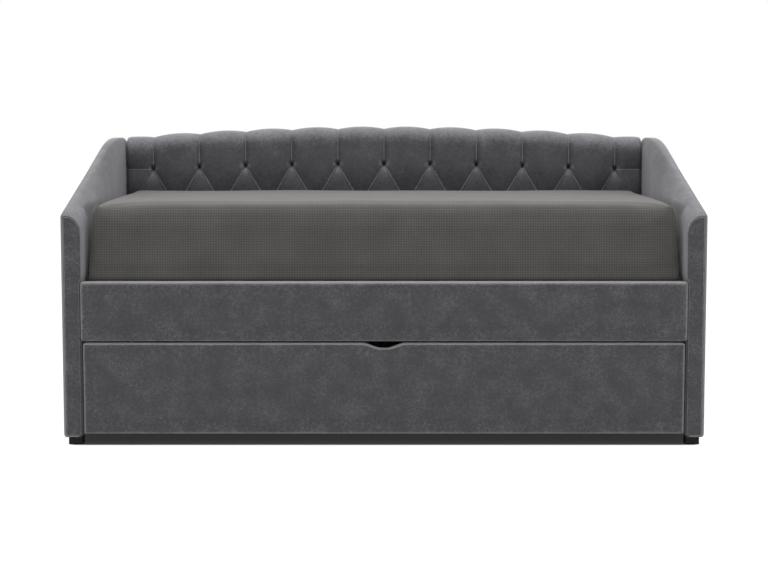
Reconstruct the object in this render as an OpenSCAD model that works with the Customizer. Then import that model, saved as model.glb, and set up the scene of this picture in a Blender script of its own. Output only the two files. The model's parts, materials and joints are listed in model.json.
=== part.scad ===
// Upholstered daybed with a tufted, scalloped back and a rolling trundle.
// X runs along the bed, the front faces -Y, and Z is up from the floor.
// Inside the modules y is counted backwards from the front plane.

/* [Mattress] */
// Length of the mattress, from arm to arm
mattress_w = 1905; // [1750:5:2050]
// Depth of the mattress, front to back
mattress_d = 965; // [880:5:1050]
// Thickness of the mattress
mattress_h = 254; // [180:2:300]
// Gap between the mattress and each arm
mattress_side_gap = 22.5; // [10:0.5:50]
// Gap in front of the mattress and behind it
mattress_end_gap = 15; // [5:1:40]
// How far each upright side leans in towards the top
mattress_lean = 11; // [2:1:20]
// Rise of the crown in the middle of the top
mattress_crown = 5; // [1:1:12]

/* [Arms] */
// Thickness of an arm
arm_t = 58; // [52:1:80]
// Height of an arm at the front
arm_front_h = 748; // [650:2:800]
// Height of an arm at the back
arm_back_h = 976; // [900:2:1000]
// Length of the level stretch at the back of an arm
arm_level_d = 64; // [20:2:120]
// Radius that joins the slope to the level stretch
arm_top_r = 1100; // [600:20:1400]
// Width of the roll along the inner top edge
arm_roll_w = 40; // [25:1:42]
// Height of that roll
arm_roll_h = 64; // [40:1:90]
// Radius of the other long edges of an arm
arm_edge_r = 10; // [5:1:14]
// Radius that turns the cover onto the front face
arm_front_r = 8; // [4:0.5:9]

/* [Back] */
// Thickness of the back, from the crown of its cushion to the rear face
back_t = 106; // [95:1:130]
// Height of the back at its middle
back_crest_h = 1019; // [1000:1:1080]
// Height of the back where it meets the arms
back_end_h = 983; // [960:1:1000]
// Number of tufts in the upper row
tuft_n = 11; // [9:2:13]
// Distance from the last tuft to the arm
tuft_end = 102; // [80:1:120]
// Height of the middle tuft of the upper row
tuft_h = 883; // [870:1:890]
// Height of one half diamond between the two rows
diamond_h = 148; // [120:1:160]
// Depth of the pleats below the crown
pleat_d = 20; // [8:1:24]
// Further depth of the pit at each tuft
tuft_pit_d = 16; // [4:1:20]
// Depth of the valleys between the scallops of the top edge
scallop_d = 7; // [3:1:12]
// Radius of the front top edge of the cushion
back_top_r = 46; // [30:1:50]

/* [Front rail] */
// Thickness of the padded rail
rail_t = 45; // [40:1:60]
// Height of the padded rail
rail_h = 190; // [170:1:220]
// Height of the underside of the rail above the floor
rail_bottom_h = 340; // [320:1:380]
// Radius of the rail's corners as seen from the front
rail_corner_r = 14; // [10:1:20]

/* [Trundle] */
// Gap between the trundle and each arm
trundle_side_gap = 6; // [3:0.5:12]
// Gap between the trundle panel and the rail above it
trundle_top_gap = 6; // [3:0.5:12]
// Height of the underside of the trundle panel
trundle_bottom_h = 39; // [30:1:60]
// Gap between the trundle and the back frame
trundle_back_gap = 64; // [30:1:120]
// Radius of the panel's corners as seen from the front
trundle_corner_r = 9; // [8:1:14]
// Height of the boards round the trundle's mattress
trundle_wall_h = 132; // [120:1:160]
// Width of the hand notch at the top
notch_w = 125; // [90:1:160]
// Depth of the hand notch
notch_d = 16.5; // [12:0.5:22]

/* [Slats] */
// Number of slats in each deck
slat_n = 14; // [10:1:16]
// Width of a slat
slat_w = 60; // [45:1:80]
// Thickness of a slat
slat_t = 18; // [14:1:22]
// Height and width of the ledgers that carry the upper slats
ledger_s = 30; // [24:1:40]

/* [Feet and casters] */
// Height of a foot
foot_h = 26; // [20:1:34]
// Width and depth of a foot
foot_w = 45.6; // [40:0.1:50]
// Radius of a caster's wheel
wheel_r = 25; // [22:0.5:28]
// Width of a caster's wheel
wheel_t = 20; // [16:1:26]
// Radius of a caster's axle
axle_r = 4; // [3:0.5:5]

/* [Hidden] */

velvet = "#4f5053";
timber = "#c8a878";
plywood = "#d6bf95";
webbing = "#2b2b2b";
steel = "#9a9ca0";
black = "#1b1b1b";
ticking = "#7b7974";

// Overall sizes, worked out from the mattress and what surrounds it
inner_w = mattress_w + 2 * mattress_side_gap;
overall_w = inner_w + 2 * arm_t;
overall_d = rail_t + mattress_d + 2 * mattress_end_gap + back_t;
rail_top_h = rail_bottom_h + rail_h;

// Fits that serve the whole part
gap = 0.3;
overrun = 5;
screw_fit = 0.05;
hull_fn = 24;
$fn = 48;

// Arm
arm_wall = 8;
arm_inner_w = arm_t - 2 * arm_wall;
arm_member = 60;
arm_rise = arm_back_h - arm_front_h;
arm_run = overall_d - arm_level_d;
arm_half_tan = (arm_run - sqrt(arm_run ^ 2 - (2 * arm_top_r - arm_rise) * arm_rise))
    / (2 * arm_top_r - arm_rise);
arm_slope = 2 * atan(arm_half_tan);
arm_bend_y = arm_run - arm_top_r * sin(arm_slope);
arm_roll_steps = 10;
arm_edge_steps = 3;
arm_bend_steps = 5;
arm_rear_r = 5;
arm_edge_min = 1;
facing_margin = 1;
facing_inset = arm_front_r + facing_margin;
facing_t = 6;
arm_frame_front_y = facing_t + arm_wall;
arm_frame_rear_y = overall_d - arm_wall;
arm_frame_bottom_h = foot_h + arm_wall;
arm_frame_skin = 4;

// Back
back_w = inner_w - 2 * gap;
back_rear_t = 8;
back_frame_t = 38;
back_frame_rear_y = overall_d - back_rear_t;
back_frame_front_y = back_frame_rear_y - back_frame_t;
back_front_y = overall_d - back_t;
back_cap_h = 24;
back_rail_w = 70;
back_top_rail_drop = 136;
back_peak_h = max(back_crest_h, back_end_h);
back_bays = 4;
back_rear_r = 10;
back_corner_r = 12;
back_cushion_lift = 5;
tuft_drop_share = 0.6;
tuft_pitch = (back_w - 2 * tuft_end) / (tuft_n - 1);
tuft_last_x = tuft_pitch * (tuft_n - 1) / 2;
tuft_pit_r = 17;
pleat_power = 0.4;
bay_steps = 6;
end_steps = 4;
top_steps = 4;

// Rail and panel padding
pad_front = 14;
pad_rear = 6;
pad_edge = 8;
pad_roll_r = 7;
pad_roll_steps = 3;

// Deck
slat_sink = 3;
slat_top_h = rail_top_h - slat_sink;
slat_under_h = slat_top_h - slat_t;
slat_end_gap = 3;
slat_side_inset = 45;
strap_w = 30;
strap_t = 1.5;
strap_shares = [0.4, 0.7];
ledger_side_gap = 75;
slat_rear_y = back_front_y - slat_end_gap;

// Steel corner brackets between the arms and the rail or the back
bracket_t = 3;
bracket_leg = 60;
bracket_h = 100;
bracket_hole_shares = [0.25, 0.75];
bolt_r = 4;
bolt_l = 40;
bolt_head_r = 7;
bolt_head_h = 4;
screw_r = 3;
screw_l = 26;
screw_head_r = 5.5;
screw_head_h = 2.5;
bracket_lift = 20;
bracket_foot_lift = 110;
bracket_front_h = rail_bottom_h + bracket_lift;
bracket_rear_heights = [bracket_front_h, foot_h + bracket_foot_lift];

// Feet
foot_inset = 1;
foot_front_gap = 8;
foot_corner_r = 6;
foot_stud_r = 4;
foot_stud_sink = 14;
foot_stud_rise = 40;

// Trundle
trundle_w = inner_w - 2 * trundle_side_gap;
trundle_top_h = rail_bottom_h - trundle_top_gap;
trundle_panel_t = rail_t;
trundle_panel_h = trundle_top_h - trundle_bottom_h;
trundle_board_t = 18;
trundle_rear_y = back_frame_front_y - trundle_back_gap;
trundle_wall_lift = 13;
notch_steps = 24;
bearer_w = 90;
bearer_t = 38;
caster_plate_t = 2.5;
caster_clear = 11.5;
caster_h = 2 * wheel_r + caster_clear + caster_plate_t;
bearer_top_h = caster_h + bearer_t;
trundle_slat_top_h = bearer_top_h + slat_t;
angle_leg = 40;
angle_h = 60;
angle_t = 2.5;
angle_lift = 4;
caster_plate_w = 60;
caster_plate_d = 56;
caster_plate_r = 5;
caster_cheek_t = 2.5;
caster_cheek_w = 26;
caster_side_gap = 1;
caster_edge_in = 70;
caster_setbacks = [215, 100];
wheel_fit = 0.05;
wheel_hub_r = 9;
wheel_groove_d = 2;
wheel_rim_w = 8;
wheel_edge_r = 3;
wheel_edge_steps = 4;
rivet_head_r = 6;
rivet_head_h = 2;

// Mattress
mattress_lift = 0.3;
mattress_bottom_r = 14;
mattress_top_r = 36;
mattress_corner_r = 44;
mattress_corner_min = 12;
mattress_side_steps = 5;
mattress_arc_steps = 4;

// Closed lofts

// Joins rings of equal length into a closed skin of triangles, with flat caps.
// The rings run counter-clockwise as seen from the last one, and each cap fans
// out from the last point of its ring. A true value in splits turns the
// diagonals between that ring and the next.
function loft_faces(rings, n, splits) = [
    for (i = [0 : rings - 2], j = [0 : n - 1])
        let (a = i * n + j, b = i * n + (j + 1) % n, c = a + n, d = b + n)
        each splits[i] ? [[a, c, b], [b, c, d]] : [[a, c, d], [a, d, b]],
    for (j = [0 : n - 3]) [n - 1, j, j + 1],
    for (j = [0 : n - 3]) let (s = (rings - 1) * n) [s + n - 1, s + j + 1, s + j]
];

module loft(rings, splits = []) {
    polyhedron(
        points = [for (ring = rings, p = ring) p],
        faces = loft_faces(len(rings), len(rings[0]), splits)
    );
}

function arc(cx, cy, rx, ry, from, to, steps) = [
    for (k = [0 : steps]) let (a = from + (to - from) * k / steps) [cx + rx * cos(a), cy + ry * sin(a)]
];

// Places

// Turns the modules' y, counted from the front plane, into the part's frame
module from_front() translate([0, -overall_d / 2, 0]) children();

// The left side is built as drawn, and the right side is its mirror image
module on_side(side) {
    if (side < 0) children();
    else mirror([1, 0, 0]) children();
}

module box(low, high) translate(low) cube(high - low);

module bar_x(r, l, at) translate(at) rotate([0, 90, 0]) cylinder(r = r, h = l);

module bar_y(r, l, at) translate(at) rotate([-90, 0, 0]) cylinder(r = r, h = l);

// A square with true round corners, drawn from the middle
module rounded_square(w, d, r) {
    square([w, d - 2 * r], center = true);
    square([w - 2 * r, d], center = true);
    for (x = [-1, 1], y = [-1, 1])
        translate([x * (w / 2 - r), y * (d / 2 - r)]) circle(r);
}

// An upholstered board: x from the middle, y from its front, z from its underside
module padded_board(w, t, h, corner_r, edge_r) {
    hull()
        for (x = [-1, 1], z = [corner_r, h - corner_r])
            translate([x * (w / 2 - corner_r), 0, z])
                rotate([-90, 0, 0])
                    rotate_extrude($fn = hull_fn)
                        polygon(concat(
                            [[0, 0]],
                            arc(corner_r - edge_r, edge_r, edge_r, edge_r, -90, 0, pad_roll_steps),
                            arc(corner_r - edge_r, t - edge_r, edge_r, edge_r, 0, 90, pad_roll_steps),
                            [[0, t]]
                        ));
}

// Arms

// Height of the arm's top at a distance y from the front
function arm_top(y) =
    y < arm_bend_y ? arm_front_h + y * tan(arm_slope)
    : y < arm_run ? arm_back_h - arm_top_r + sqrt(arm_top_r ^ 2 - (arm_run - y) ^ 2)
    : arm_back_h;

// Outline across an arm whose top is at height top, drawn in by inset all round.
// x is 0 at the outer face and arm_t at the inner face.
function arm_section(top, inset) = let (
    edge = max(arm_edge_r - inset, arm_edge_min),
    low = foot_h + inset,
    high = top - inset,
    left = inset,
    right = arm_t - inset
) concat(
    arc(left + edge, low + edge, edge, edge, 180, 270, arm_edge_steps),
    arc(right - edge, low + edge, edge, edge, 270, 360, arm_edge_steps),
    arc(right - arm_roll_w + inset, high - arm_roll_h + inset,
        arm_roll_w - inset, arm_roll_h - inset, 0, 90, arm_roll_steps),
    arc(left + edge, high - edge, edge, edge, 90, 180, arm_edge_steps)
);

function arm_ring(y, inset) = [for (p = arm_section(arm_top(y), inset)) [p[0], y, p[1]]];

// Distances from the front where the arm's top line bends
function arm_bends() = [
    for (k = [0 : arm_bend_steps]) arm_bend_y + (arm_run - arm_bend_y) * k / arm_bend_steps
];

// The arm's whole outside, with its rear and front edges rolled over
module arm_skin() {
    bends = arm_bends();
    loft(concat(
        [for (k = [0 : arm_edge_steps]) let (a = 90 * k / arm_edge_steps)
            arm_ring(overall_d - arm_rear_r * (1 - cos(a)), arm_rear_r * (1 - sin(a)))],
        [for (k = [arm_bend_steps : -1 : 0]) arm_ring(bends[k], 0)],
        [for (k = [0 : arm_edge_steps]) let (a = 90 * k / arm_edge_steps)
            arm_ring(arm_front_r * (1 - sin(a)), arm_front_r * (1 - cos(a)))]
    ));
}

// Side view of the timber frame between two distances from the front.
// drop is how far its top lies below the arm's top.
module arm_side_view(from, to, bottom, drop) {
    inside = [for (y = arm_bends()) if (y > from && y < to) y];
    tops = concat([from], inside, [to]);
    polygon(concat(
        [[to, bottom], [from, bottom]],
        [for (y = tops) [y, arm_top(y) - drop]]
    ));
}

// Turns a side view into a board that starts at x and is t thick
module standing_board(x, t) translate([x, 0, 0]) rotate([90, 0, 90]) linear_extrude(t) children();

module arm_holes(r_bolt, r_stud) {
    bolt_x = arm_t - bolt_l;
    for (b = bracket_bolts()) bar_x(r_bolt, bolt_l + overrun, [bolt_x, b[0], b[1]]);
    for (y = foot_places())
        translate([foot_x(), y, foot_h - overrun])
            cylinder(r = r_stud, h = foot_stud_rise + overrun);
}

module arm_frame(side) {
    top_drop = arm_roll_h + arm_frame_skin;
    low = arm_frame_bottom_h + gap;
    front = arm_frame_front_y + gap;
    rear = arm_frame_rear_y - gap;
    mid = (front + rear) / 2;
    color(timber) from_front() on_side(side) translate([-overall_w / 2, 0, 0])
        difference() {
            standing_board(arm_wall + gap, arm_inner_w - 2 * gap)
                difference() {
                    arm_side_view(front, rear, low, top_drop + gap);
                    for (part = [
                        [front + arm_member, mid - arm_member / 2],
                        [mid + arm_member / 2, rear - 2 * arm_member]
                    ]) {
                        arm_side_view(part[0], part[1], rail_top_h, top_drop + arm_member);
                        translate([part[0], low + arm_member])
                            square([part[1] - part[0], rail_bottom_h - low - arm_member]);
                    }
                }
            arm_holes(bolt_r + screw_fit, foot_stud_r + screw_fit);
        }
}

module arm_cover(side) {
    color(velvet) from_front() on_side(side) translate([-overall_w / 2, 0, 0])
        difference() {
            arm_skin();
            standing_board(arm_wall, arm_inner_w)
                arm_side_view(arm_frame_front_y, arm_frame_rear_y, arm_frame_bottom_h,
                    arm_roll_h + arm_frame_skin);
            facing_slab(0, facing_t, overrun);
            arm_holes(bolt_r + gap, foot_stud_r + gap);
        }
}

// The outline of the front facing, drawn in further by shy and carried forward by over
module facing_slab(shy, t, over) {
    translate([0, t, 0]) rotate([90, 0, 0]) linear_extrude(t + over)
        polygon(arm_section(arm_front_h, facing_inset + shy));
}

module arm_facing(side) {
    color(velvet) from_front() on_side(side) translate([-overall_w / 2, 0, 0])
        facing_slab(gap, facing_t, 0);
}

// Feet

function foot_places() = [
    foot_front_gap + foot_w / 2,
    overall_d - foot_front_gap - foot_w / 2
];

function foot_x() = arm_t - foot_inset - foot_w / 2;

module foot(side, place) {
    color(black) from_front() on_side(side)
        translate([foot_x() - overall_w / 2, foot_places()[place], 0])
            difference() {
                linear_extrude(foot_h) rounded_square(foot_w, foot_w, foot_corner_r);
                translate([0, 0, foot_h - foot_stud_sink]) cylinder(r = foot_stud_r + screw_fit, h = foot_h);
            }
}

module foot_studs() {
    color(steel) from_front()
        for (side = [-1, 1], y = foot_places())
            on_side(side) translate([foot_x() - overall_w / 2, y, foot_h - foot_stud_sink + gap])
                cylinder(r = foot_stud_r, h = foot_stud_sink + foot_stud_rise - 2 * gap);
}

// Back

// Height of the smooth arch that the back follows
function arch(x) = back_crest_h - (back_crest_h - back_end_h) * (2 * x / inner_w) ^ 2;

// Height of the upper and lower rows of tufts
function upper_row(x) = tuft_h - tuft_drop_share * (back_crest_h - arch(x));
function lower_row(x) = upper_row(x) - diamond_h;

// How far x lies past the last tuft, from 0 there to 1 at the arm
function end_share(x) = max(0, (abs(x) - tuft_last_x) / tuft_end);

// 0 in a pleat and 1 on the crown halfway to the next one
function scallop(x) = end_share(x) > 0 ? sin(90 * end_share(x)) : abs(sin(180 * x / tuft_pitch));

// The rounded upper corners beside the arms
function corner_drop(x) = let (over = max(0, abs(x) - back_w / 2 + back_corner_r))
    back_corner_r - sqrt(back_corner_r ^ 2 - over ^ 2);

function cushion_top(x) = arch(x) - scallop_d * (1 - scallop(x) ^ (2 * pleat_power)) - corner_drop(x);

// Crown of the diamonds: q runs from 0 at the upper row to 1 at the lower row
function diamond(p, q) = abs(sin(180 * (p - q / 2)) * sin(180 * (p + q / 2)));

// The plain panel beside the last tuft, held by its diagonal and by a level pleat
function end_panel(p, q) = let (from_diagonal = min(1, 2 * (q / 2 + p)))
    (sin(90 * max(0, from_diagonal)) * sin(90 * min(1, 2 * q))) ^ 2;

function crown(x, q) = let (p = x / tuft_pitch, last = (tuft_n - 1) / 2, past = abs(p) - last)
    q < 0 ? (end_share(x) > 0 ? scallop(x) * sin(90 * min(1, -q * 2)) : scallop(x)) ^ 2
    : q > 1 ? cos(180 * p) ^ 2
    : past + q / 2 > 0 ? end_panel(past, q)
    : diamond(p, q);

// Distance to the nearest tuft of either row
function to_tuft(x, z) = let (
    p = x / tuft_pitch,
    last = (tuft_n - 1) / 2,
    up_x = max(-last, min(last, round(p))) * tuft_pitch,
    low_x = max(-last + 0.5, min(last - 0.5, round(p - 0.5) + 0.5)) * tuft_pitch
) min(norm([x - up_x, z - upper_row(up_x)]), norm([x - low_x, z - lower_row(low_x)]));

// How far the face of the cushion lies behind its crown plane
function dent(x, z) = let (q = (upper_row(x) - z) / diamond_h)
    pleat_d * (1 - crown(x, q) ^ pleat_power) + tuft_pit_d * exp(-(to_tuft(x, z) / tuft_pit_r) ^ 2);

// Heights of the cushion's rows below its rounded top edge
function cushion_rows(x) = let (
    bottom = slat_top_h + back_cushion_lift,
    shoulder = cushion_top(x) - back_top_r
) concat(
    [bottom, (bottom + lower_row(x)) / 2],
    [for (k = [0 : bay_steps / 2]) lower_row(x) + diamond_h * 2 * k / bay_steps],
    [for (k = [1 : bay_steps / 2]) upper_row(x) + (shoulder - upper_row(x)) * 2 * k / bay_steps]
);

// One section across the cushion, in the order underside, front, top, rear. It ends
// halfway up the rear, from where the cap can see the whole section.
function cushion_ring(x) = let (
    rows = cushion_rows(x),
    top = cushion_top(x),
    last = rows[len(rows) - 1],
    fold = dent(x, last),
    bottom = rows[0]
) concat(
    [[x, overall_d, bottom]],
    [for (z = rows) [x, back_front_y + (z == bottom ? 0 : dent(x, z)) + corner_drop(x), z]],
    [for (k = [1 : top_steps]) let (a = 90 * k / top_steps)
        [x, back_front_y + back_top_r * (1 - cos(a)) + (fold + corner_drop(x)) * cos(a),
            last + back_top_r * sin(a)]],
    [for (k = [0 : 2]) let (a = 45 * k)
        [x, overall_d - back_rear_r * (1 - sin(a)), top - back_rear_r * (1 - cos(a))]],
    [[x, overall_d, upper_row(x)]]
);

// Columns at every tuft and at even steps between them
function cushion_columns() = concat(
    [for (k = [0 : end_steps - 1]) -back_w / 2 + tuft_end * sin(90 * k / end_steps)],
    [for (k = [0 : bay_steps * (tuft_n - 1)]) -tuft_last_x + tuft_pitch * k / bay_steps],
    [for (k = [end_steps - 1 : -1 : 0]) back_w / 2 - tuft_end * sin(90 * k / end_steps)]
);

// Front view of the back, from the arms' underside up to a distance below its arch
module arched_board(w, bottom, drop) {
    steps = tuft_n + 1;
    polygon(concat(
        [[w / 2, bottom], [-w / 2, bottom]],
        [for (k = [0 : steps]) let (x = w * (k / steps - 0.5)) [x, arch(x) - drop]]
    ));
}

// Stands a front view up, from y and t deep
module facing_board(y, t) translate([0, y + t, 0]) rotate([90, 0, 0]) linear_extrude(t) children();

module back_cushion() {
    columns = cushion_columns();
    splits = [for (k = [0 : len(columns) - 2]) (k - end_steps + bay_steps) % bay_steps < bay_steps / 2];
    color(velvet) from_front()
        difference() {
            loft([for (x = columns) cushion_ring(-x)], splits);
            facing_board(back_frame_front_y - gap, overall_d)
                arched_board(inner_w + overrun, foot_h, back_cap_h);
        }
}

// A piece of the back's timber frame, cut from the arched outline between two heights
module back_timber(x, w, low, high) {
    color(timber) from_front()
        difference() {
            facing_board(back_frame_front_y, back_frame_t)
                intersection() {
                    arched_board(back_w, foot_h, back_cap_h + gap);
                    translate([x, low]) square([w, high - low]);
                }
            back_screw_holes(screw_r + screw_fit);
        }
}

module back_end_posts() {
    for (x = [-back_w / 2, back_w / 2 - back_rail_w]) back_timber(x, back_rail_w, foot_h, back_peak_h);
}

// Bottom, middle and arched top rail, each between the end posts
module back_rails() {
    for (z = back_rail_heights())
        back_timber(-back_w / 2 + back_rail_w, back_w - 2 * back_rail_w, z[0], z[1]);
}

function back_rail_heights() = [
    [foot_h, foot_h + back_rail_w],
    [rail_bottom_h, rail_top_h],
    [back_crest_h - back_top_rail_drop, back_peak_h]
];

module back_uprights() {
    heights = back_rail_heights();
    pitch = (back_w - back_rail_w) / back_bays;
    for (tier = [0, 1], k = [1 : back_bays - 1])
        back_timber(-back_w / 2 + k * pitch, back_rail_w, heights[tier][1], heights[tier + 1][0]);
}

module back_rear_cover() {
    color(velvet) from_front()
        facing_board(back_frame_rear_y, back_rear_t)
            arched_board(back_w, foot_h, back_cap_h + gap);
}

// Front rail

module front_rail_board() {
    color(plywood) from_front()
        difference() {
            rail_core(gap);
            rail_screw_holes(screw_r + screw_fit);
        }
}

// The board inside the rail, or its pocket in the cover where shy is 0
module rail_core(shy) {
    box([-inner_w / 2 + pad_edge + shy, pad_front + shy, rail_bottom_h + pad_edge + shy],
        [inner_w / 2 - pad_edge - shy, rail_t - pad_rear - shy, rail_top_h - pad_edge - shy]);
}

module front_rail_cover() {
    color(velvet) from_front()
        difference() {
            translate([0, 0, rail_bottom_h])
                padded_board(inner_w - 2 * gap, rail_t, rail_h, rail_corner_r, pad_roll_r);
            rail_core(0);
            rail_screw_holes(screw_r + gap);
        }
}

// Decks of slats

// A timber along the rail or the back, between two distances from the front
module slat_ledger(from, to) {
    color(timber) from_front()
        box([-inner_w / 2 + ledger_side_gap, from, slat_under_h - ledger_s],
            [inner_w / 2 - ledger_side_gap, to, slat_under_h]);
}

// Evenly spaced slats that run from front to back
module slat_row(w, from, to, under) {
    pitch = (w - 2 * slat_side_inset - slat_w) / (slat_n - 1);
    for (k = [0 : slat_n - 1])
        translate([-w / 2 + slat_side_inset + k * pitch, from, under]) cube([slat_w, to - from, slat_t]);
}

// Webbing straps stapled under the slats to keep them apart
module strap_pair(w, from, to, under) {
    for (share = strap_shares)
        translate([-w / 2 + slat_side_inset, from + (to - from) * share - strap_w / 2, under - strap_t])
            cube([w - 2 * slat_side_inset, strap_w, strap_t]);
}

module upper_slats() {
    color(timber) from_front()
        slat_row(inner_w, rail_t + slat_end_gap, slat_rear_y, slat_under_h);
}

module upper_slat_straps() {
    color(webbing) from_front()
        strap_pair(inner_w, rail_t, slat_rear_y, slat_under_h);
}

// Corner brackets

// Places of the bolts in the left arm, as y and z
function bracket_bolts() = [
    for (s = bracket_hole_shares, t = [[rail_t, 1, bracket_front_h],
        [back_frame_front_y, -1, bracket_rear_heights[0]], [back_frame_front_y, -1, bracket_rear_heights[1]]])
        [t[0] + t[1] * (bracket_leg / 2 + bracket_t), t[2] + bracket_h * s]
];

// One angle in the corner between the left arm and a board at y; way is 1 in front of the mattress
module angle_bracket(y, way, z) {
    x = -inner_w / 2;
    difference() {
        union() {
            box([x, min(y, y + way * bracket_leg), z],
                [x + bracket_t, max(y, y + way * bracket_leg), z + bracket_h]);
            box([x, min(y, y + way * bracket_t), z],
                [x + bracket_leg, max(y, y + way * bracket_t), z + bracket_h]);
        }
        for (share = bracket_hole_shares) {
            bar_x(bolt_r + screw_fit, 2 * overrun, [x - overrun, y + way * (bracket_leg / 2 + bracket_t),
                z + bracket_h * share]);
            bar_y(screw_r + screw_fit, 2 * overrun, [x + bracket_leg / 2 + bracket_t, y - overrun,
                z + bracket_h * share]);
        }
    }
}

module corner_brackets() {
    color(steel) from_front()
        for (side = [-1, 1]) on_side(side) {
            angle_bracket(rail_t, 1, bracket_front_h);
            for (z = bracket_rear_heights) angle_bracket(back_frame_front_y, -1, z);
        }
}

module corner_bolts() {
    x = -inner_w / 2 + bracket_t;
    color(steel) from_front()
        for (side = [-1, 1], b = bracket_bolts())
            on_side(side) {
                bar_x(bolt_r, bolt_l + bracket_t - gap, [x - bolt_l - bracket_t + gap, b[0], b[1]]);
                bar_x(bolt_head_r, bolt_head_h, [x, b[0], b[1]]);
            }
}

// Places of the screws on the left, as x and z, for a bracket whose foot is at height z
function screw_places(z) = [for (s = bracket_hole_shares)
    [-inner_w / 2 + bracket_leg / 2 + bracket_t, z + bracket_h * s]];

module rail_screw_holes(r) {
    for (side = [-1, 1], p = screw_places(bracket_front_h))
        on_side(side) bar_y(r, screw_l + overrun, [p[0], rail_t - screw_l, p[1]]);
}

module back_screw_holes(r) {
    for (side = [-1, 1], z = bracket_rear_heights, p = screw_places(z))
        on_side(side) bar_y(r, screw_l + overrun, [p[0], back_frame_front_y - overrun, p[1]]);
}

module corner_screws() {
    color(steel) from_front()
        for (side = [-1, 1]) on_side(side) {
            for (p = screw_places(bracket_front_h)) {
                bar_y(screw_r, screw_l + bracket_t - gap, [p[0], rail_t - screw_l + gap, p[1]]);
                bar_y(screw_head_r, screw_head_h, [p[0], rail_t + bracket_t, p[1]]);
            }
            for (z = bracket_rear_heights, p = screw_places(z)) {
                bar_y(screw_r, screw_l + bracket_t - gap, [p[0], back_frame_front_y - bracket_t, p[1]]);
                bar_y(screw_head_r, screw_head_h,
                    [p[0], back_frame_front_y - bracket_t - screw_head_h, p[1]]);
            }
        }
}

// Mattress

// Outline of the mattress seen from above, drawn in by inset, at height z
function mattress_ring(inset, z) = let (
    hw = mattress_w / 2 - inset,
    hd = mattress_d / 2 - inset,
    r = max(mattress_corner_r - inset, mattress_corner_min),
    turns = [[1, 1, 0], [-1, 1, 90], [-1, -1, 180], [1, -1, 270]],
    corners = [for (t = turns) arc(t[0] * (hw - r), t[1] * (hd - r), r, r, t[2], t[2] + 90, mattress_arc_steps)],
    loop = [
        for (k = [0 : 3]) let (from = corners[k][mattress_arc_steps], to = corners[(k + 1) % 4][0])
            each concat(
                corners[k],
                [for (s = [1 : mattress_side_steps - 1]) from + (to - from) * s / mattress_side_steps]
            )
    ],
    start = mattress_arc_steps / 2 + 1
) [for (k = [0 : len(loop) - 1]) let (p = loop[(k + start) % len(loop)]) [p[0], p[1], z]];

module mattress() {
    top_z = mattress_h - mattress_crown;
    side_low = mattress_bottom_r;
    side_high = top_z - mattress_top_r;
    crown_shares = [0.08, 0.25, 0.6];
    inner = mattress_d / 2 - mattress_top_r - mattress_lean - mattress_corner_r;
    rings = concat(
        [for (k = [0 : mattress_arc_steps]) let (a = 90 * k / mattress_arc_steps)
            mattress_ring(mattress_bottom_r * (1 - sin(a)), mattress_bottom_r * (1 - cos(a)))],
        [for (k = [1 : 2]) mattress_ring(mattress_lean * k / 2, side_low + (side_high - side_low) * k / 2)],
        [for (k = [1 : mattress_arc_steps]) let (a = 90 * k / mattress_arc_steps)
            mattress_ring(mattress_lean + mattress_top_r * (1 - cos(a)), side_high + mattress_top_r * sin(a))],
        [for (s = crown_shares)
            mattress_ring(mattress_lean + mattress_top_r + inner * s, top_z + mattress_crown * (1 - (1 - s) ^ 2))]
    );
    color(ticking) from_front()
        translate([0, rail_t + mattress_end_gap + mattress_d / 2, slat_top_h + mattress_lift])
            loft(rings);
}

// Trundle

// Half of the notch's depth curve, a soft S from the panel's top edge down to the middle
function notch_z(x) = -notch_d * (1 + cos(360 * x / notch_w)) / 2;

// The cutter for the hand notch, through a panel that is t thick
module notch_cut(t, grow) {
    half = notch_w / 2 + grow;
    facing_board(-overrun, t + 2 * overrun)
        polygon(concat(
            [[half, trundle_top_h + overrun], [-half, trundle_top_h + overrun]],
            [for (k = [0 : notch_steps]) let (share = 2 * k / notch_steps - 1)
                [half * share, trundle_top_h + notch_z(share * notch_w / 2) - grow]]
        ));
}

// The board inside the trundle panel, or its pocket in the cover where shy is 0
module panel_core(shy) {
    difference() {
        box([-trundle_w / 2 + pad_edge + shy, pad_front + shy, trundle_bottom_h + pad_edge + shy],
            [trundle_w / 2 - pad_edge - shy, rail_t - pad_rear - shy, trundle_top_h - pad_edge - shy]);
        notch_cut(trundle_panel_t, pad_edge + shy);
    }
}

module trundle_panel_board() {
    color(plywood) from_front() panel_core(gap);
}

module trundle_panel_cover() {
    color(velvet) from_front()
        difference() {
            translate([0, 0, trundle_bottom_h])
                padded_board(trundle_w, trundle_panel_t, trundle_panel_h, trundle_corner_r, pad_roll_r);
            panel_core(0);
            notch_cut(trundle_panel_t, 0);
        }
}

// A timber across the trundle from y on, w wide, under the slats
module trundle_timber(y, w) {
    inner = trundle_w / 2 - trundle_board_t;
    color(timber) from_front()
        box([-inner, y, caster_h], [inner, y + w, bearer_top_h]);
}

module trundle_side(side) {
    low = caster_h - trundle_wall_lift;
    color(plywood) from_front() on_side(side)
        box([-trundle_w / 2, trundle_panel_t, low],
            [-trundle_w / 2 + trundle_board_t, trundle_rear_y, low + trundle_wall_h]);
}

module trundle_back_board() {
    low = caster_h - trundle_wall_lift;
    inner = trundle_w / 2 - trundle_board_t;
    color(plywood) from_front()
        box([-inner, trundle_rear_y - trundle_board_t, low], [inner, trundle_rear_y, low + trundle_wall_h]);
}

module trundle_slats() {
    color(timber) from_front()
        slat_row(trundle_w - 2 * trundle_board_t, trundle_panel_t + slat_end_gap,
            trundle_rear_y - trundle_board_t - slat_end_gap, bearer_top_h);
}

module trundle_slat_straps() {
    color(webbing) from_front()
        strap_pair(trundle_w - 2 * trundle_board_t, trundle_panel_t, trundle_rear_y, bearer_top_h);
}

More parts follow.
